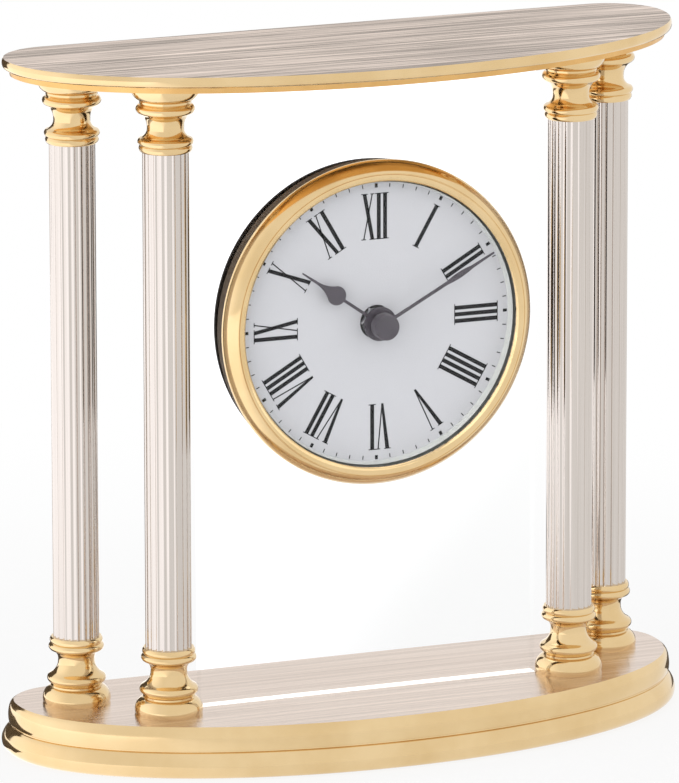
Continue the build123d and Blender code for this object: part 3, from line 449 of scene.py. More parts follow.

# %% [markdown]
# ## Brass, brushed and polished
# The edges and ferrules are buffed bright and lacquered: warm yellow, a mirror
# that is only a little soft. The flat tops are brushed along the width of the
# clock before lacquering, which turns the same metal into a paler, pinkish
# satin with streaks along X. The top plate has darker, heavier strokes. Under
# the plate the metal is rougher, and its deeper golden brown is painted shade.

# %% Brass finishes
finish_of(
    "polished_brass", handling, (0.81, 0.605, 0.33), (0.74, 0.53, 0.265), 55, (0.07, 0.15), 10,
    Metallic=1.0, Coat_Weight=0.3)
# Its rougher polish is real; its darker golden-brown tone is painted shade under the plate's rim.
finish_of(
    "shaded_underside_brass", handling, (0.80, 0.49, 0.19), (0.68, 0.40, 0.14), 70, (0.24, 0.36), 20, Metallic=1.0)
finish_of(
    "satin_brass_base", brushing, (0.85, 0.72, 0.63), (0.62, 0.50, 0.42), (12, 900, 900), (0.16, 0.24), 20,
    slot="satin_brass", along_uv=True, Metallic=1.0, Anisotropic=0.9)
finish_of(
    "satin_brass_plate", brushing, (1.0, 0.85, 0.75), (0.14, 0.095, 0.06), (20, 950, 950), (0.24, 0.34), 30,
    along_uv=True, Metallic=1.0, Anisotropic=0.9)
finish_of(
    "train_brass", brushing, (0.80, 0.60, 0.28), (0.70, 0.50, 0.22), (900, 90, 900), (0.28, 0.4), 20,
    Metallic=1.0)
print("brass:", ", ".join(finishes))

# %% [markdown]
# ## Silver, steel and the other metals
# The column shafts are drawn tube with a bright nickel-silver plating, with
# faint draw lines along their length. Hidden steel, copper and iron get the
# plain finish that such parts have from the factory.

# %% Other metals
finish_of(
    "silver_plate", brushing, (0.68, 0.625, 0.58), (0.60, 0.545, 0.50), (1400, 1400, 12), (0.10, 0.19), 10,
    Metallic=1.0)
finish_of(
    "zinc_steel", brushing, (0.70, 0.70, 0.72), (0.55, 0.55, 0.57), (300, 1200, 300), (0.25, 0.38), 20,
    slot="steel", Metallic=1.0)
finish_of(
    "cast_iron", graining, (0.10, 0.10, 0.11), (0.19, 0.19, 0.20), 1400, (0.55, 0.75), 100, Metallic=0.4)
finish_of(
    "copper_wire", brushing, (0.78, 0.36, 0.16), (0.46, 0.17, 0.07), (5200, 60, 60), (0.2, 0.34), 100,
    Metallic=1.0, Coat_Weight=0.4)
finish_of(
    "ferrite", graining, (0.05, 0.05, 0.055), (0.10, 0.10, 0.11), 3000, (0.35, 0.5), 30,
    slot="magnet_black", Metallic=0.3)
finish_of(
    "reflector_silver", brushing, (0.60, 0.62, 0.60), (0.52, 0.54, 0.52), (700, 3000, 700), (0.45, 0.6), 20)
print("with the other metals:", len(finishes), "finishes")

# %% [markdown]
# ## Paint, plastic, felt and cork
# The dial is matt white enamel with a cool cast, the hands are semi-gloss dark
# grey paint, the movement is black moulded plastic with a fine spark texture,
# and the underside of the base is covered in dark green felt.

# %% Painted, moulded and soft finishes
finish_of("dial_white", graining, (0.474, 0.480, 0.508), (0.496, 0.501, 0.526), 2600, (0.5, 0.6), 20)
finish_of(
    "print_black", graining, (0.006, 0.006, 0.007), (0.012, 0.012, 0.013), 3400, (0.45, 0.5), 10,
    Specular_IOR_Level=0.1)
finish_of(
    "hand_grey", brushing, (0.060, 0.051, 0.065), (0.032, 0.027, 0.036), (160, 900, 1300), (0.32, 0.45), 10,
    Coat_Weight=0.12)
finish_of(
    "housing_plastic", graining, (0.105, 0.076, 0.050), (0.145, 0.108, 0.075), 1600, (0.55, 0.7), 50,
    Specular_IOR_Level=0.1)
finish_of("movement_plastic", graining, (0.016, 0.016, 0.018), (0.032, 0.032, 0.035), 1500, (0.45, 0.62), 60)
finish_of(
    "wheel_plastic", graining, (0.80, 0.77, 0.68), (0.86, 0.84, 0.77), 1800, (0.35, 0.5), 20,
    Subsurface_Weight=0.1)
finish_of(
    "black_rubber", graining, (0.014, 0.011, 0.009), (0.034, 0.027, 0.021), 1500, (0.5, 0.7), 40,
    Specular_IOR_Level=0.2)
finish_of("pale_cork", graining, (0.78, 0.75, 0.69), (0.60, 0.52, 0.42), 1300, (0.7, 0.9), 100)
# The emission is painted light: the strip glows by itself, though nothing in it is a lamp.
finish_of(
    "slot_lining", graining, (0.86, 0.85, 0.83), (0.78, 0.765, 0.74), 900, (0.6, 0.8), 30,
    Emission_Color=(1, 1, 1, 1), Emission_Strength=0.4)
finish_of(
    "green_felt", graining, (0.010, 0.028, 0.014), (0.030, 0.065, 0.036), 2400, (0.85, 1.0), 300,
    slot="felt", Sheen_Weight=0.4)
finish_of("board_green", graining, (0.010, 0.10, 0.045), (0.018, 0.16, 0.07), 900, (0.25, 0.4), 30)
finish_of(
    "cell_jacket", brushing, (0.36, 0.38, 0.42), (0.27, 0.29, 0.32), (20, 700, 700), (0.3, 0.42), 20,
    Metallic=0.6)
print("with paint, plastic and felt:", len(finishes), "finishes")

# %% [markdown]
# ## Glass
# Both the panel and the lens are clear. A thin sheet with even faces hardly
# moves what is seen through it, and the real one shows no edges, so the body
# of the glass bends nothing here and a thin coat gives the reflection of its
# polish. Left alone it would throw a dark shadow, so for shadow rays the Light
# Path node swaps it for a transparent shader, and light reaches the dial as it
# does through real glass. Faint wiping marks move the roughness a little.

# %% Clear materials
def clear_glass_of(name, slot, tone, marks, polish):
    material, tree, shader = new_material(name)
    state(shader, {"Base Color": (*tone, 1), "Metallic": 0.0, "Transmission Weight": 1.0})
    state(shader, {"IOR": 1.0, "Coat Weight": polish})
    place = add(tree, "TexCoord").outputs["Object"]
    wipes = add(tree, "TexNoise", {"Scale": marks, "Detail": 3.0})
    haze = add(tree, "MapRange", {"From Min": 0.45, "From Max": 0.8, "To Min": 0.0, "To Max": 0.02})
    through = add(tree, "BsdfTransparent", {"Color": (*tone, 1)})
    rays = add(tree, "LightPath")
    choose = add(tree, "MixShader")
    join(
        tree,
        (place, wipes.inputs["Vector"]),
        (wipes.outputs["Fac"], haze.inputs["Value"]),
        (haze.outputs["Result"], shader.inputs["Roughness"]),
        (rays.outputs["Is Shadow Ray"], choose.inputs[0]),
        (shader.outputs[0], choose.inputs[1]),
        (through.outputs[0], choose.inputs[2]),
        (choose.outputs[0], tree.nodes["Material Output"].inputs["Surface"]),
    )
    finishes[slot] = material


clear_glass_of("panel_glass", "clear_glass", (0.994, 0.998, 0.996), marks=30.0, polish=0.4)
clear_glass_of("lens_glass", "crystal_lens", (0.998, 0.998, 0.998), marks=45.0, polish=0.22)
print("with glass:", len(finishes), "finishes")

# %% [markdown]
# ## The D-shaped blank
# Base and plate are slabs with a half-elliptical front, straight sides and
# rounded back corners, and an edge of turned-looking tiers. The outline starts
# as a circle stretched to the ellipse, of which the back half is cut away, the
# ends run back and the corners are rounded. The face is then extruded down
# row by row. Front and back grow by the same amount only when each is scaled
# about the line where the ellipse ends, so the two are scaled one at a time.

# %% A slab that is extruded row by row
def slab(half_width, bow, centre, back, corner, top, rows):
    """rows: (depth below the top, growth of the outline) in mm, the first being the top itself."""
    clear()
    middle = centre * mm
    bpy.ops.mesh.primitive_circle_add(vertices=256, radius=1, location=(0, middle, top * mm))
    piece = bpy.context.object
    piece.scale = (half_width * mm, bow * mm, 1)
    settle()
    edit(piece)
    pick(lambda p: p.y > middle + tiny)
    bpy.ops.mesh.delete(type="VERT")
    pick(lambda p: p.y > middle - tiny)
    extrude(0, (back - centre) * mm, 0)
    bpy.ops.mesh.edge_face_add()
    select_all()
    bpy.ops.mesh.edge_face_add()
    pick(lambda p: p.y > middle + tiny)
    bpy.ops.mesh.bevel(offset=corner * mm, segments=20, affect="VERTICES")
    grown, depth = 0.0, 0.0
    select_all("FACE")
    for next_depth, growth in rows[1:]:
        extrude(0, 0, (depth - next_depth) * mm)
        wider = (half_width + growth) / (half_width + grown)
        bpy.ops.transform.resize(value=(wider, 1, 1), center_override=(0, 0, 0))
        level = (top - next_depth) * mm
        for length, side in ((bow, -1), (back - centre, 1)):
            pick(lambda p: abs(p.z - level) < tiny and (p.y - middle) * side > tiny)
            longer = (length + growth) / (length + grown)
            bpy.ops.transform.resize(value=(1, longer, 1), center_override=(0, middle, 0))
        pick(lambda p, n: abs(p.z - level) < tiny, "FACE")
        grown, depth = growth, next_depth
    close_up()
    return piece


def between(t, p, q, r, s):
    """Where a smooth curve from q to r is at t, with p and s as its outer neighbours."""
    square, cube = 2 * p - 5 * q + 4 * r - s, 3 * q - p - 3 * r + s
    return 0.5 * (2 * q + (r - p) * t + square * t * t + cube * t ** 3)


def tier(top, tall, out, points, steps=3):
    """Rows of one rounded tier; its points are shares of its height and of how far it stands out."""
    rows = []
    padded = [points[0], *points, points[-1]]
    for four in zip(padded, padded[1:], padded[2:], padded[3:]):
        for i in range(steps):
            rows.append([between(i / steps, *values) for values in zip(*four)])
    return [(top + d * tall, g * out) for d, g in [*rows, points[-1]]]


def paint_faces(piece, finish, test):
    """Gives the faces that pass the test a finish of their own."""
    piece.data.materials.append(finishes[finish])
    edit(piece)
    pick(test, "FACE")
    piece.active_material_index = len(piece.data.materials) - 1
    bpy.ops.object.material_slot_assign()
    to_object()


def brush_lengthwise(piece, uv_scale=5):
    """A map whose first axis lies across the strokes."""
    layer = piece.data.uv_layers.new(name=BRUSH_MAP)
    for loop in piece.data.loops:
        point = piece.data.vertices[loop.vertex_index].co
        layer.data[loop.index].uv = (point.y * uv_scale, point.x * uv_scale)


print("slab maker ready")

# %% [markdown]
# ## The base
# The base is a heavy casting in two rounded tiers with a fine groove between
# them. Its tiers are polished and its top is brushed, so after the slab is made
# the upward face gets the satin finish. Its brush map runs along the width, so
# that the satin smears reflections across its strokes as brushed metal does. A
# slot for the glass is milled across the top, with a pale strip in it that glows
# with painted light of its own, and the underside is let in for the felt.

# %% Model the base
base_top, felt_margin, felt_recess = 12.9, 3.1, 0.8
slot_half_wide, slot_front, slot_bottom = 44.1, -3.4, 9.4
upper = tier(0, 5.7, 1.3, [(0, 0), (0.10, 0.48), (0.28, 0.82), (0.60, 1.0), (0.86, 0.93), (1.0, 0.74)])
groove = [(5.8, 0.72), (6.1, 0.72)]
lower = tier(
    6.2, 6.3, 2.8, [(0, 0.33), (0.10, 0.60), (0.30, 0.86), (0.52, 1.0), (0.76, 0.94), (0.92, 0.7), (1.0, 0.43)])
base = slab(
    half_width=84.5, bow=43.4, centre=14.3, back=29.1, corner=13.0, top=base_top, rows=upper + groove + lower)
edit(base)
pick(lambda p, n: n.z < -0.99 and p.z < 0.5 * mm, "FACE")
bpy.ops.mesh.inset(thickness=felt_margin * mm, depth=0)
extrude(0, 0, felt_recess * mm)
to_object()
cut(base, block((-slot_half_wide, slot_front, slot_bottom), (slot_half_wide, 0.0, base_top + 1)))
base.data.materials.append(finishes["polished_brass"])
paint_faces(base, "satin_brass", lambda p, n: n.z > 0.99 and p.z > (base_top - 0.1) * mm)
# The strip in the slot, which glows with painted light.
paint_faces(base, "slot_lining", lambda p, n: (
    abs(p.x) < (slot_half_wide + 0.1) * mm
    and (slot_front - 0.1) * mm < p.y < 0.1 * mm
    and (slot_bottom - 0.1) * mm < p.z < (base_top - 0.05) * mm))
brush_lengthwise(base)
hand_over(base, "brass_base", "satin_brass", "base_casting")
print("base rows:", len(upper + groove + lower), "faces:", len(base.data.polygons))

# %% [markdown]
# ## The top plate
# The plate repeats the base's outline a millimetre larger, with a thin rounded
# rim and a plain recessed band under it. It is brushed on top and carries the
# upper edge of the glass in a groove underneath.

# %% Model the top plate
plate_top, band_top, groove_top = 172.25, 169.6, 170.1
rim = tier(0, 2.6, 0.4, [(0, 0), (0.16, 0.62), (0.46, 1.0), (0.80, 0.5), (1.0, -0.75)])
band = [(2.62, -1.1), (4.15, -1.5)]
plate = slab(
    half_width=85.5, bow=44.2, centre=15.45, back=30.05, corner=14.0, top=plate_top, rows=rim + band)
cut(plate, block((-slot_half_wide, slot_front, groove_top - 10.1), (slot_half_wide, 0.0, groove_top)))
plate.data.materials.append(finishes["polished_brass"])
paint_faces(plate, "satin_brass_plate", lambda p, n: n.z > 0.99 and p.z > (plate_top - 0.25) * mm)
# The band and the underside take the darker brass, painted shade under the rim.
paint_faces(plate, "shaded_underside_brass", lambda p, n: p.z < band_top * mm)
brush_lengthwise(plate)
hand_over(plate, "brass_top_plate", "satin_brass", "top_plate")
print("plate faces:", len(plate.data.polygons))

# %% [markdown]
# ## The turned ferrules
# Each column stands in a baluster foot and ends in the same turning upside down.
# The outline runs up from a flat disc over a fine fillet, a bulb, a long waist
# and a collar. It is drawn once with arcs through measured points, spun, and
# then copied to the eight places, the capitals mirrored top to bottom.

# %% Model one foot and copy it
foot_low, foot_high, shaft_high, foot_radius = base_top, 29.3, 151.7, 8.37
foot_tall = foot_high - foot_low
column_places = {
    "front_left": (-52.65, -4.2), "front_right": (52.65, -4.2),
    "back_left": (-69.75, 14.0), "back_right": (69.75, 14.0),
}
foot_line = [(0.0, 0.0), *trace((0.975 * foot_radius, 0.0), [
    ((0.966, 0.135), (0.790, 0.236)), (None, (0.752, 0.243)), (None, (0.752, 0.268)),
    (None, (0.722, 0.282)), (None, (0.742, 0.298)), ((0.854, 0.352), (0.790, 0.425)),
    ((0.580, 0.530), (0.534, 0.640)), ((0.576, 0.735), (0.738, 0.797)), ((0.808, 0.848), (0.742, 0.903)),
    ((0.774, 0.950), (0.728, 1.0)),
], foot_radius, foot_tall), (0.0, foot_tall)]
foot = turned([(r, foot_low + h) for r, h in foot_line], 72, upright=True)
for corner, (x, y) in column_places.items():
    for name, height, up in (("foot", 0, 1), ("capital", foot_high + shaft_high, -1)):
        twin = copy_of(foot, (x, y, height), (1, 1, up))
        hand_over(twin, f"{name}_{corner}", "polished_brass", f"column_{name}_{corner}")
print("foot outline points:", len(foot_line))
bpy.data.objects.remove(foot)

# %% [markdown]
# ## The fluted shafts
# Each shaft is a silver tube with 22 shallow hollows. A cylinder with ten
# vertices to a flute is enough: the rows of points that lie in a hollow are
# scaled in towards the axis by the depth of a circular cut there, and the
# narrow land between two hollows keeps its radius.

# %% Model one shaft and copy it
shaft_radius, flutes, per_flute, cutter, flute_depth = 5.6, 22, 10, 0.95, 0.24
clear()
bpy.ops.mesh.primitive_cylinder_add(
    vertices=flutes * per_flute, radius=shaft_radius * mm, depth=(shaft_high - foot_high) * mm,
    location=(0, 0, (shaft_high + foot_high) / 2 * mm))
shaft = bpy.context.object
settle()
edit(shaft)
for step in range(4):
    across = step * math.tau * shaft_radius / flutes / per_flute
    deep = math.sqrt(cutter ** 2 - across ** 2) - (cutter - flute_depth)
    same = (step, -step % per_flute)
    pick(lambda p: round(math.atan2(p.y, p.x) / math.tau * flutes * per_flute) % per_flute in same)
    inward = (shaft_radius - deep) / shaft_radius
    bpy.ops.transform.resize(value=(inward, inward, 1), center_override=(0, 0, 0))
to_object()
for corner, (x, y) in column_places.items():
    hand_over(copy_of(shaft, (x, y, 0)), f"shaft_{corner}", "silver_plate", f"column_shaft_{corner}")
bpy.data.objects.remove(shaft)
print("shafts:", len(column_places))

# %% [markdown]
# ## The glass panel
# A sheet of 3.2 mm glass with a round hole for the insert. It is a block with
# the hole cut out, and every edge is arrised, because glass is never left
# sharp. Shading is smoothed only up to a small angle, so that the narrow bevels
# leave the flat faces flat.

# %% Model the glass
glass_low, glass_high, hole_radius, arris = (-43.9, -3.3, 10.0), (43.9, -0.1, 169.7), 35.0, 0.25
glass = block(glass_low, glass_high)
clear()
bpy.ops.mesh.primitive_cylinder_add(
    vertices=160, radius=hole_radius * mm, depth=20 * mm,
    location=dial_centre, rotation=(math.pi / 2, 0, 0))
cut(glass, bpy.context.object)
edit(glass)
bpy.ops.mesh.select_mode(type="EDGE")
bpy.ops.mesh.select_all(action="DESELECT")
bpy.ops.mesh.edges_select_sharp(sharpness=math.radians(60))
bpy.ops.mesh.bevel(offset=arris * mm, segments=2, affect="EDGES")
to_object()
hand_over(glass, "glass_sheet", "clear_glass", "glass_panel", angle=12)
print("glass faces:", len(glass.data.polygons))

# %% [markdown]
# ## The insert's housing and gasket
# Behind the dial a brown plastic cup goes through the glass, with a wider tub in
# front of it that rests on the panel and carries the bezel. A black rubber
# sleeve with a lip holds it from behind; the lip is made wide so that its edge
# gives the thin dark line outside the cup, which is painted shade beside the
# housing. The cup's back has a square opening for the movement, cut after
# turning.

# %% Model the housing and the gasket
housing = turned([
    (37.35, -9.2), (38.9, -9.2), (38.9, -8.2), (39.3, -8.2), (39.3, -3.3), (34.4, -3.3), (34.4, 7.6),
    (34.0, 8.0), (0, 8.0), (0, 6.8), (33.2, 6.8), (33.2, -4.5), (36.2, -4.5), (36.2, -7.7),
    (37.35, -7.7), (37.35, -9.2),
], 128)
opening_half_wide, below, above = 25.4, 20.5, 20.3
cut(housing, block(
    (-opening_half_wide, 4.0, dial_height - below), (opening_half_wide, 12.0, dial_height + above)))
hand_over(housing, "insert_cup", "housing_plastic", "insert_housing")
# The sleeve is real; its lip reaches out to 38.6 mm so that its black edge gives the dark line, painted shade
# beside the housing.
gasket = turned([
    (34.45, -3.3), (34.95, -3.3), (34.95, -0.02), (38.6, -0.02), (38.6, 0.8), (38.3, 1.1),
    (34.45, 1.1), (34.45, -3.3),
], 128)
hand_over(gasket, "rubber_sleeve", "black_rubber", "gasket_ring")
print("housing faces:", len(housing.data.polygons))

# %% [markdown]
# ## The dial and its reflector ring
# The dial is a thin enamelled disc. Around it a satin ring slopes from the dial
# to the lens and hides the gap between the dial and the bezel.

# %% Model the dial and the ring
dial_face, dial_back, bore, dial_radius = -8.2, -7.7, 4.2, 37.2
dial = turned([
    (bore, dial_face), (dial_radius, dial_face), (dial_radius, dial_back), (bore, dial_back), (bore, dial_face),
], 160)
hand_over(dial, "dial_disc", "dial_white", "dial")
reflector = turned(
    [(34.5, dial_face), (34.9, -10.3), (37.1, -10.3), (37.1, dial_face), (34.5, dial_face)], 160)
hand_over(reflector, "bright_ring", "reflector_silver", "reflector_ring")
print("dial across:", round(dial.dimensions.x / mm, 2), "mm")

# %% [markdown]
# ## The numerals
# The chapter ring has tall narrow Roman numerals whose feet point at the
# centre, with thick and thin strokes and hairline serifs. Each stroke is a
# small plane in edit mode, scaled to its width and height. A slanted one has
# its head moved sideways, so that its ends stay level, and the heavy one of the
# V narrows to its foot. A numeral is built upright at the twelve and turned to
# its hour, then all are joined and given the thickness of a printed film.

# %% Strokes and letters
foot_of_numeral, numeral_tall, hair = 20.4, 11.4, 0.22
# letter: its width, strokes (foot, head, width, width of the foot), foot serifs, head serifs
letters = {
    "I": (1.64, [(0.82, 0.82, 1.0)], [(0.82, 1.9)], [(0.82, 1.9)]),
    "V": (4.0, [(2.2, 0.85, 1.05, 0.6), (2.25, 3.3, 0.3)], [], [(0.85, 1.7), (3.3, 1.2)]),
    "X": (3.75, [(2.95, 0.85, 0.95), (0.65, 2.9, 0.3)], [(0.65, 1.2), (2.95, 1.6)], [(0.85, 1.7), (2.9, 1.1)]),
}


def square(x, z):
    """A square millimetre on the dial's face; returns its middle."""
    middle = Vector((x * mm, dial_face * mm, z * mm))
    bpy.ops.mesh.primitive_plane_add(size=mm, location=middle, rotation=(math.pi / 2, 0, 0))
    return middle


def choose_end(test):
    """Of the newest square's four points, selects those that pass the test."""
    mesh = bmesh.from_edit_mesh(bpy.context.edit_object.data)
    for vertex in mesh.verts:
        vertex.select = vertex.index >= len(mesh.verts) - 4 and test(vertex.co)
    mesh.select_flush_mode()


def stroke(foot_x, head_x, low, high, width, foot_width=None):
    """A flat stroke in edit mode, its foot at foot_x and its head at head_x (mm)."""
    bpy.ops.mesh.select_all(action="DESELECT")
    middle = square(foot_x, (low + high) / 2)
    bpy.ops.transform.resize(value=(width, 1, high - low), center_override=middle)
    if head_x != foot_x:
        choose_end(lambda p: p.z > middle.z)
        bpy.ops.transform.translate(value=((head_x - foot_x) * mm, 0, 0))
    if foot_width:
        choose_end(lambda p: p.z < middle.z)
        bpy.ops.transform.resize(value=(foot_width / width, 1, 1), center_override=middle)


def letter(kind, x):
    """Draws one letter from x to the right and returns where the next begins."""
    width, strokes, foot_serifs, head_serifs = letters[kind]
    low, high = foot_of_numeral, foot_of_numeral + numeral_tall
    for foot_x, head_x, *widths in strokes:
        stroke(x + foot_x, x + head_x, low, high, *widths)
    for level, serifs in ((low, foot_serifs), (high - hair, head_serifs)):
        for centre, wide in serifs:
            stroke(x + centre, x + centre, level, level + hair, wide)
    return x + width


print("letters are", numeral_tall, "mm tall")

# %% Set the twelve numerals
numerals = ["XII", "I", "II", "III", "IIII", "V", "VI", "VII", "VIII", "IX", "X", "XI"]
nudges = {"VI": -0.9, "XII": -0.4}
printed = []
for hour, name in enumerate(numerals):
    clear()
    bpy.ops.mesh.primitive_plane_add(size=mm)
    numeral = bpy.context.object
    edit(numeral)
    select_all("VERT")
    bpy.ops.mesh.delete(type="VERT")
    x = -sum(letters[kind][0] for kind in name) / 2
    for kind in name:
        x = letter(kind, x)
    to_object()
    numeral.data.transform(Matrix.Translation((nudges.get(name, 0) * mm, 0, 0)))
    numeral.location = dial_centre
    numeral.rotation_euler = (0, math.radians(30 * hour), 0)
    settle()
    printed.append(numeral)
print("numerals:", " ".join(numerals))

# %% [markdown]
# ## The minute track
# Around the numerals run sixty marks: a small block at each hour and four fine
# ticks between. One block and its four ticks are drawn, and the spin operator
# repeats them eleven times, thirty degrees apart.

# %% Draw and repeat the marks
track_radius, film = 33.7, 0.03
clear()
square(0, dial_height + track_radius)
track = bpy.context.object
track.scale = (0.75, 1.05, 1)
settle()
edit(track)
for minute in range(1, 5):
    bpy.ops.mesh.select_all(action="DESELECT")
    angle = math.radians(6 * minute)
    middle = square(track_radius * math.sin(angle), dial_height + track_radius * math.cos(angle))
    bpy.ops.transform.resize(value=(0.24, 1, 0.95), center_override=middle)
    bpy.ops.transform.rotate(value=-angle, orient_axis="Y", center_override=middle)
select_all()
bpy.ops.mesh.spin(steps=11, dupli=True, angle=math.radians(330), center=dial_centre, axis=(0, 1, 0))
to_object()
for piece in printed:
    piece.select_set(True)
track.select_set(True)
bpy.context.view_layer.objects.active = track
bpy.ops.object.join()
edit(track)
select_all("FACE")
extrude(0, -film * mm, 0)
select_all()
bpy.ops.mesh.normals_make_consistent(inside=False)
to_object()
track.data.materials.append(finishes["print_black"])
hand_over(track, "chapter_ring_print", "hand_grey")
print("printed faces:", len(track.data.polygons))

# %% [markdown]
# ## The crystal
# A moulded lens domes over the dial and turns down in a rounded shoulder to a
# foot that the bezel clamps. It is a closed shell of even wall, turned about
# the dial's axis, with a fine step count so that its reflections stay round.

# %% Model the crystal
lens_radius, lens_rise = 34.0, 3.0
sphere_radius = (lens_radius ** 2 + lens_rise ** 2) / (2 * lens_rise)


def dome(apex, count=10):
    """Points from the middle of the dome out to the shoulder, on one sphere."""
    radii = [lens_radius * i / count for i in range(count + 1)]
    return [(r, apex + sphere_radius - math.sqrt(sphere_radius ** 2 - r ** 2)) for r in radii]


shoulder = arc((34.0, -14.2), (34.825, -13.725), (35.1, -12.9), 6)
step = [(35.1, -11.2), (36.9, -11.2), (36.9, -10.3), (34.0, -10.3)]
crystal = turned([*dome(-17.2), *shoulder, *step, *reversed(dome(-16.1))], 160)
hand_over(crystal, "domed_lens", "crystal_lens", "crystal")
print("crystal faces:", len(crystal.data.polygons))

# %% [markdown]
# ## The bezel
# The bezel is a thin spun brass ring: a straight skirt, a broad rounded flank
# that rises to a ridge with a fine turned line, and a short lip that turns in
# over the lens.

# %% Model the bezel
flank = arc((40.1, -9.0), (38.86, -11.06), (37.3, -12.3), 12)
line = [(37.22, -12.18), (37.08, -12.2), (37.0, -12.4)]
turn_in = arc((37.0, -12.4), (36.15, -12.28), (35.3, -11.7), 6)
inside = [(35.3, -11.2), (37.2, -11.2), (38.6, -10.1)]
skirt = [(39.0, -9.37), (39.0, -8.2), (40.1, -8.2)]
bezel = turned([(40.1, -8.2), (40.1, -9.0), *flank, *line, *turn_in, *inside, *skirt], 160)
hand_over(bezel, "brass_bezel", "polished_brass", "bezel")
print("bezel across:", round(bezel.dimensions.x / mm, 2), "mm")

# %% [markdown]
# ## The hands
# The hour hand is a slim stem that swells to a spade and ends in a point; the
# minute hand has a long narrow leaf. Both are stamped from sheet: one side of
# the outline is drawn, mirrored by its numbers, closed round the boss, filled
# and extruded to the sheet's thickness, and the hand is then turned to the
# time it shows. A flat round cap covers the middle.

# %% Model the hands and the cap
def hand(boss, half_wide, length, steps, back, degrees, stem=0.375, thick=0.35):
    """Outline from the stem to the tip, in shares of the half width and length (mm)."""
    side = trace((stem, math.sqrt(boss ** 2 - stem ** 2)), steps, half_wide, length)
    boss_line = arc((-side[0][0], side[0][1]), (0, -boss), side[0], 40)[:-1]
    outline = side + [(-x, z) for x, z in reversed(side)] + boss_line
    piece = chain([(x * mm, back * mm, z * mm) for x, z in outline])
    select_all()
    bpy.ops.mesh.edge_face_add()
    select_all("FACE")
    extrude(0, -thick * mm, 0)
    close_up()
    piece.location = dial_centre
    piece.rotation_euler = (0, math.radians(degrees), 0)
    return piece


hour_hand = hand(
    boss=4.2, half_wide=2.36, length=24.6, back=-10.6, degrees=305.15,
    steps=[
        (None, (0.159, 0.466)), ((1.0, 0.561), (0.678, 0.631)),
        ((0.318, 0.707), (0.144, 0.837)), (None, (0.076, 1.0)),
    ])
hand_over(hour_hand, "spade_hour_hand", "hand_grey", "hour_hand", body="hour_works")
minute_hand = hand(
    boss=3.0, half_wide=0.69, length=33.0, back=-12.2, degrees=61.8,
    steps=[(None, (0.543, 0.576)), ((1.0, 0.673), (0.507, 0.803)), (None, (0.290, 1.0))])
hand_over(minute_hand, "leaf_minute_hand", "hand_grey", "minute_hand", body="minute_works")
cap = turned([(0, -15.6), (2.75, -15.6), (3.08, -15.48), (3.2, -15.15), (3.2, -12.55), (0, -12.55)], 64)
hand_over(cap, "centre_cap", "hand_grey", "hand_cap", body="minute_works")
print("time shown: ten past ten, plus a little")

# %% [markdown]
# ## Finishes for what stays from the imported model
# The movement, its train, the felt, the tie rods and the other hidden parts
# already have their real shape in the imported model. They keep it, and each
# gets the finish of its material slot.

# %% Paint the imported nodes
for row in frame["record"]["subparts"]:
    node = frame["nodes"][row["node"]]
    if not node.material_slots:
        node.data.materials.append(None)
    for place in node.material_slots:
        place.material = finishes[row["material_slot"]]

# %% [markdown]
# ## Floor
# The clock stands on a pale surface that fades into a white background. Near
# the clock the floor is plain white paint, so the shadow under the base falls
# on it. Further out it turns into pure white for the camera and for what metal
# and glass reflect, which leaves no horizon. Polished metal sees a white that
# grows brighter to the left, as beside a large window, which gives round parts
# their cream side; a small group makes that ramp for the floor and the room.

# %% Lay the floor
side_light, enter, leave = group("side_light", [("Place", "v"), ("Near", "f"), ("Far", "f")], [("Mask", "f")])
along = add(side_light, "VectorMath", {1: (-0.85, 0.53, 0.0)}, operation="DOT_PRODUCT")
ramp = add(side_light, "MapRange", interpolation_type="SMOOTHSTEP")
join(
    side_light,
    (enter.outputs["Place"], along.inputs[0]),
    (along.outputs["Value"], ramp.inputs["Value"]),
    (enter.outputs["Near"], ramp.inputs["From Min"]),
    (enter.outputs["Far"], ramp.inputs["From Max"]),
    (ramp.outputs["Result"], leave.inputs["Mask"]),
)

PLAIN_WHITE, SIDE_WHITE = (1, 1, 1, 1), (1.52, 1.52, 1.56, 1)


def seen_white(tree, place, near, far):
    """A mask of the rays that see the white, and its tone, brighter to the left for mirrors."""
    rays = add(tree, "LightPath").outputs
    seen = rays["Is Camera Ray"]
    for kind in ("Is Glossy Ray", "Is Transmission Ray"):
        either = add(tree, "Math", operation="MAXIMUM")
        join(tree, (seen, either.inputs[0]), (rays[kind], either.inputs[1]))
        seen = either.outputs[0]
    side = add(tree, "Group", {"Near": near, "Far": far}, node_tree=side_light)
    mirrored = add(tree, "Math", operation="MULTIPLY")
    tone = add(tree, "Mix", {MIX_FIRST: PLAIN_WHITE, MIX_SECOND: SIDE_WHITE}, data_type="RGBA")
    join(
        tree,
        (place, side.inputs["Place"]),
        (side.outputs["Mask"], mirrored.inputs[0]),
        (rays["Is Glossy Ray"], mirrored.inputs[1]),
        (mirrored.outputs[0], tone.inputs[0]),
    )
    return seen, tone.outputs[MIX_RESULT]


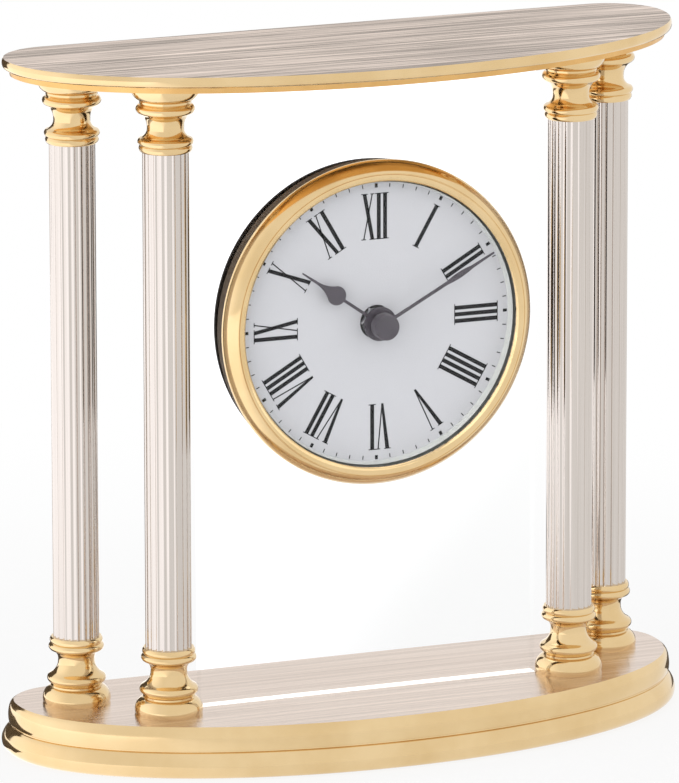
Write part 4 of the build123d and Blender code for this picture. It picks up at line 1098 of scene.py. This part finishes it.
clear()
bpy.ops.mesh.primitive_circle_add(vertices=96, radius=3.0, fill_type="NGON", location=(0, 0, 0))
floor = bpy.context.object
floor.name = "studio_floor"
floor_paint, tree, paint = new_material("floor_paint")
state(paint, {"Base Color": (0.93, 0.93, 0.93, 1), "Roughness": 0.9})
white = add(tree, "Emission", {"Strength": 1.0})
where = add(tree, "TexCoord").outputs["Object"]
reach = add(tree, "VectorMath", operation="LENGTH")
far_out = {"From Min": 0.10, "From Max": 0.34, "To Min": 0.86, "To Max": 1.0}
fade = add(tree, "MapRange", far_out, interpolation_type="SMOOTHSTEP")
seen, lit = seen_white(tree, where, near=0.0, far=0.09)
amount = add(tree, "Math", operation="MULTIPLY")
blend = add(tree, "MixShader")
join(
    tree,
    (where, reach.inputs[0]),
    (reach.outputs["Value"], fade.inputs["Value"]),
    (seen, amount.inputs[0]),
    (fade.outputs["Result"], amount.inputs[1]),
    (amount.outputs[0], blend.inputs[0]),
    (lit, white.inputs["Color"]),
    (paint.outputs[0], blend.inputs[1]),
    (white.outputs[0], blend.inputs[2]),
    (blend.outputs[0], tree.nodes["Material Output"].inputs["Surface"]),
)
floor.data.materials.append(floor_paint)
print("floor laid")

# %% [markdown]
# ## The room
# A white room is what the photograph shows behind the clock and in its metal.
# The world is pure white wherever a camera, glossy or transmission ray meets
# it, and dimmer for the light it sheds, so that lamps can still model the form.

# %% White surroundings
world = bpy.data.worlds.new("white_room")
bpy.context.scene.world = world
world.use_nodes = True
tree = world.node_tree
room = tree.nodes["Background"]
state(room, {"Color": (0.95, 0.97, 1.0, 1), "Strength": 0.45})
page = add(tree, "Background", {"Strength": 1.0})
toward = add(tree, "TexCoord").outputs["Object"]
seen, lit = seen_white(tree, toward, near=0.25, far=1.35)
choose = add(tree, "MixShader")
join(
    tree,
    (seen, choose.inputs[0]),
    (lit, page.inputs["Color"]),
    (room.outputs[0], choose.inputs[1]),
    (page.outputs[0], choose.inputs[2]),
    (choose.outputs[0], tree.nodes["World Output"].inputs["Surface"]),
)
print("room is white")

# %% [markdown]
# ## Lamps and dark cards
# Polished brass shows whatever stands round it. The soft boxes only shed light
# and aren't mirrored, so that no hard-edged patch breaks the polish: a big one
# to the left front, a weaker one to the right and one overhead. What the metal
# mirrors is the white room and the dark cards, which give the brown lines that
# let the eye read the turnings.

# %% Set up the lamps
target = Vector((0, 0, 86 * mm))


def softbox(name, place, size, watts, tone=(1, 1, 1)):
    clear()
    bpy.ops.object.light_add(type="AREA", location=place)
    lamp = bpy.context.object
    lamp.name = name
    lamp.data.shape = "RECTANGLE"
    lamp.data.size, lamp.data.size_y = size
    lamp.data.energy = watts
    lamp.data.color = tone
    lamp.visible_camera = lamp.visible_glossy = False
    lamp.rotation_euler = (Vector(place) - target).to_track_quat("Z", "Y").to_euler()


softbox("left_front_box", (-1.15, -0.9, 0.85), (2.0, 2.0), 9.0, (1.0, 0.985, 0.96))
softbox("right_front_box", (1.2, -1.2, 0.75), (1.9, 1.8), 5.0, (0.97, 0.985, 1.0))
softbox("overhead_box", (0.1, 0.25, 1.45), (1.9, 1.8), 6.0)

# %% [markdown]
# The cards are boards laid on the table behind the clock and one that stands on
# edge. They are seen only in reflections and so are hidden from the camera, and
# they count as stage, not as the clock. The notch in the first follows the
# clock's left end, where the photograph's edge has its dark band.

# %% Stand the dark cards
card_paint, tree, card = new_material("card_paint")
state(card, {"Base Color": (0.11, 0.085, 0.06, 1), "Roughness": 0.9})


def dark_card(name, corners):
    piece = chain(corners)
    select_all()
    bpy.ops.mesh.edge_face_add()
    to_object()
    piece.name = name
    piece.data.materials.append(card_paint)
    piece.visible_camera = piece.visible_shadow = False
    piece.visible_diffuse = piece.visible_transmission = False


lift = 0.0005
left_edge = [
    (-0.0955, 0.014), (-0.089, 0.014), (-0.089, 0.018), (-0.083, 0.029), (-0.071, 0.034), (-0.06, 0.034),
    (0.0, 0.55), (-0.10, 0.55), (-0.10, 0.2), (-0.108, 0.062),
]
right_edge = [(0.091, 0.022), (0.115, 0.022), (0.62, 0.75), (0.36, 0.75)]
dark_card("card_left_low", [(x, y, lift) for x, y in left_edge])
dark_card("card_left_high", [(0.0, 0.55, 0.0), (0.0, 0.55, 0.35), (-0.35, 0.55, 0.35), (-0.35, 0.55, 0.0)])
dark_card("card_right_low", [(x, y, lift) for x, y in right_edge])
print("cards: 3")

# %% [markdown]
# ## The camera
# The picture was taken with a long lens from the front left, a little above.
# The numbers come from a camera that was fitted to the plan of the columns,
# the plates and the bezel.

# %% Place the camera
azimuth, elevation, roll, distance = math.radians(-21.83), math.radians(13.35), -0.0017, 2176 * mm
aim_point = Vector((-4.37, 4.88, 86.3)) * mm
level = math.cos(elevation)
backward = Vector((math.sin(azimuth) * level, -math.cos(azimuth) * level, math.sin(elevation)))
level_right = Vector((0, 0, 1)).cross(backward).normalized()
level_up = backward.cross(level_right)
right = level_right * math.cos(roll) + level_up * math.sin(roll)
up = backward.cross(right)
clear()
bpy.ops.object.camera_add(location=aim_point + backward * distance)
camera = bpy.context.object
camera.rotation_euler = Matrix((right, up, backward)).transposed().to_euler()
camera.data.sensor_width = 36
camera.data.lens = 411.2
camera.data.clip_end = 50
bpy.context.scene.camera = camera
bpy.context.scene.view_settings.view_transform = "Standard"
print("camera at", [round(c, 3) for c in camera.location])

# %% [markdown]
# ## Count the pieces
# The number of pieces made above is printed.

# %% Count the pieces
import json

print("pieces:", len(made))
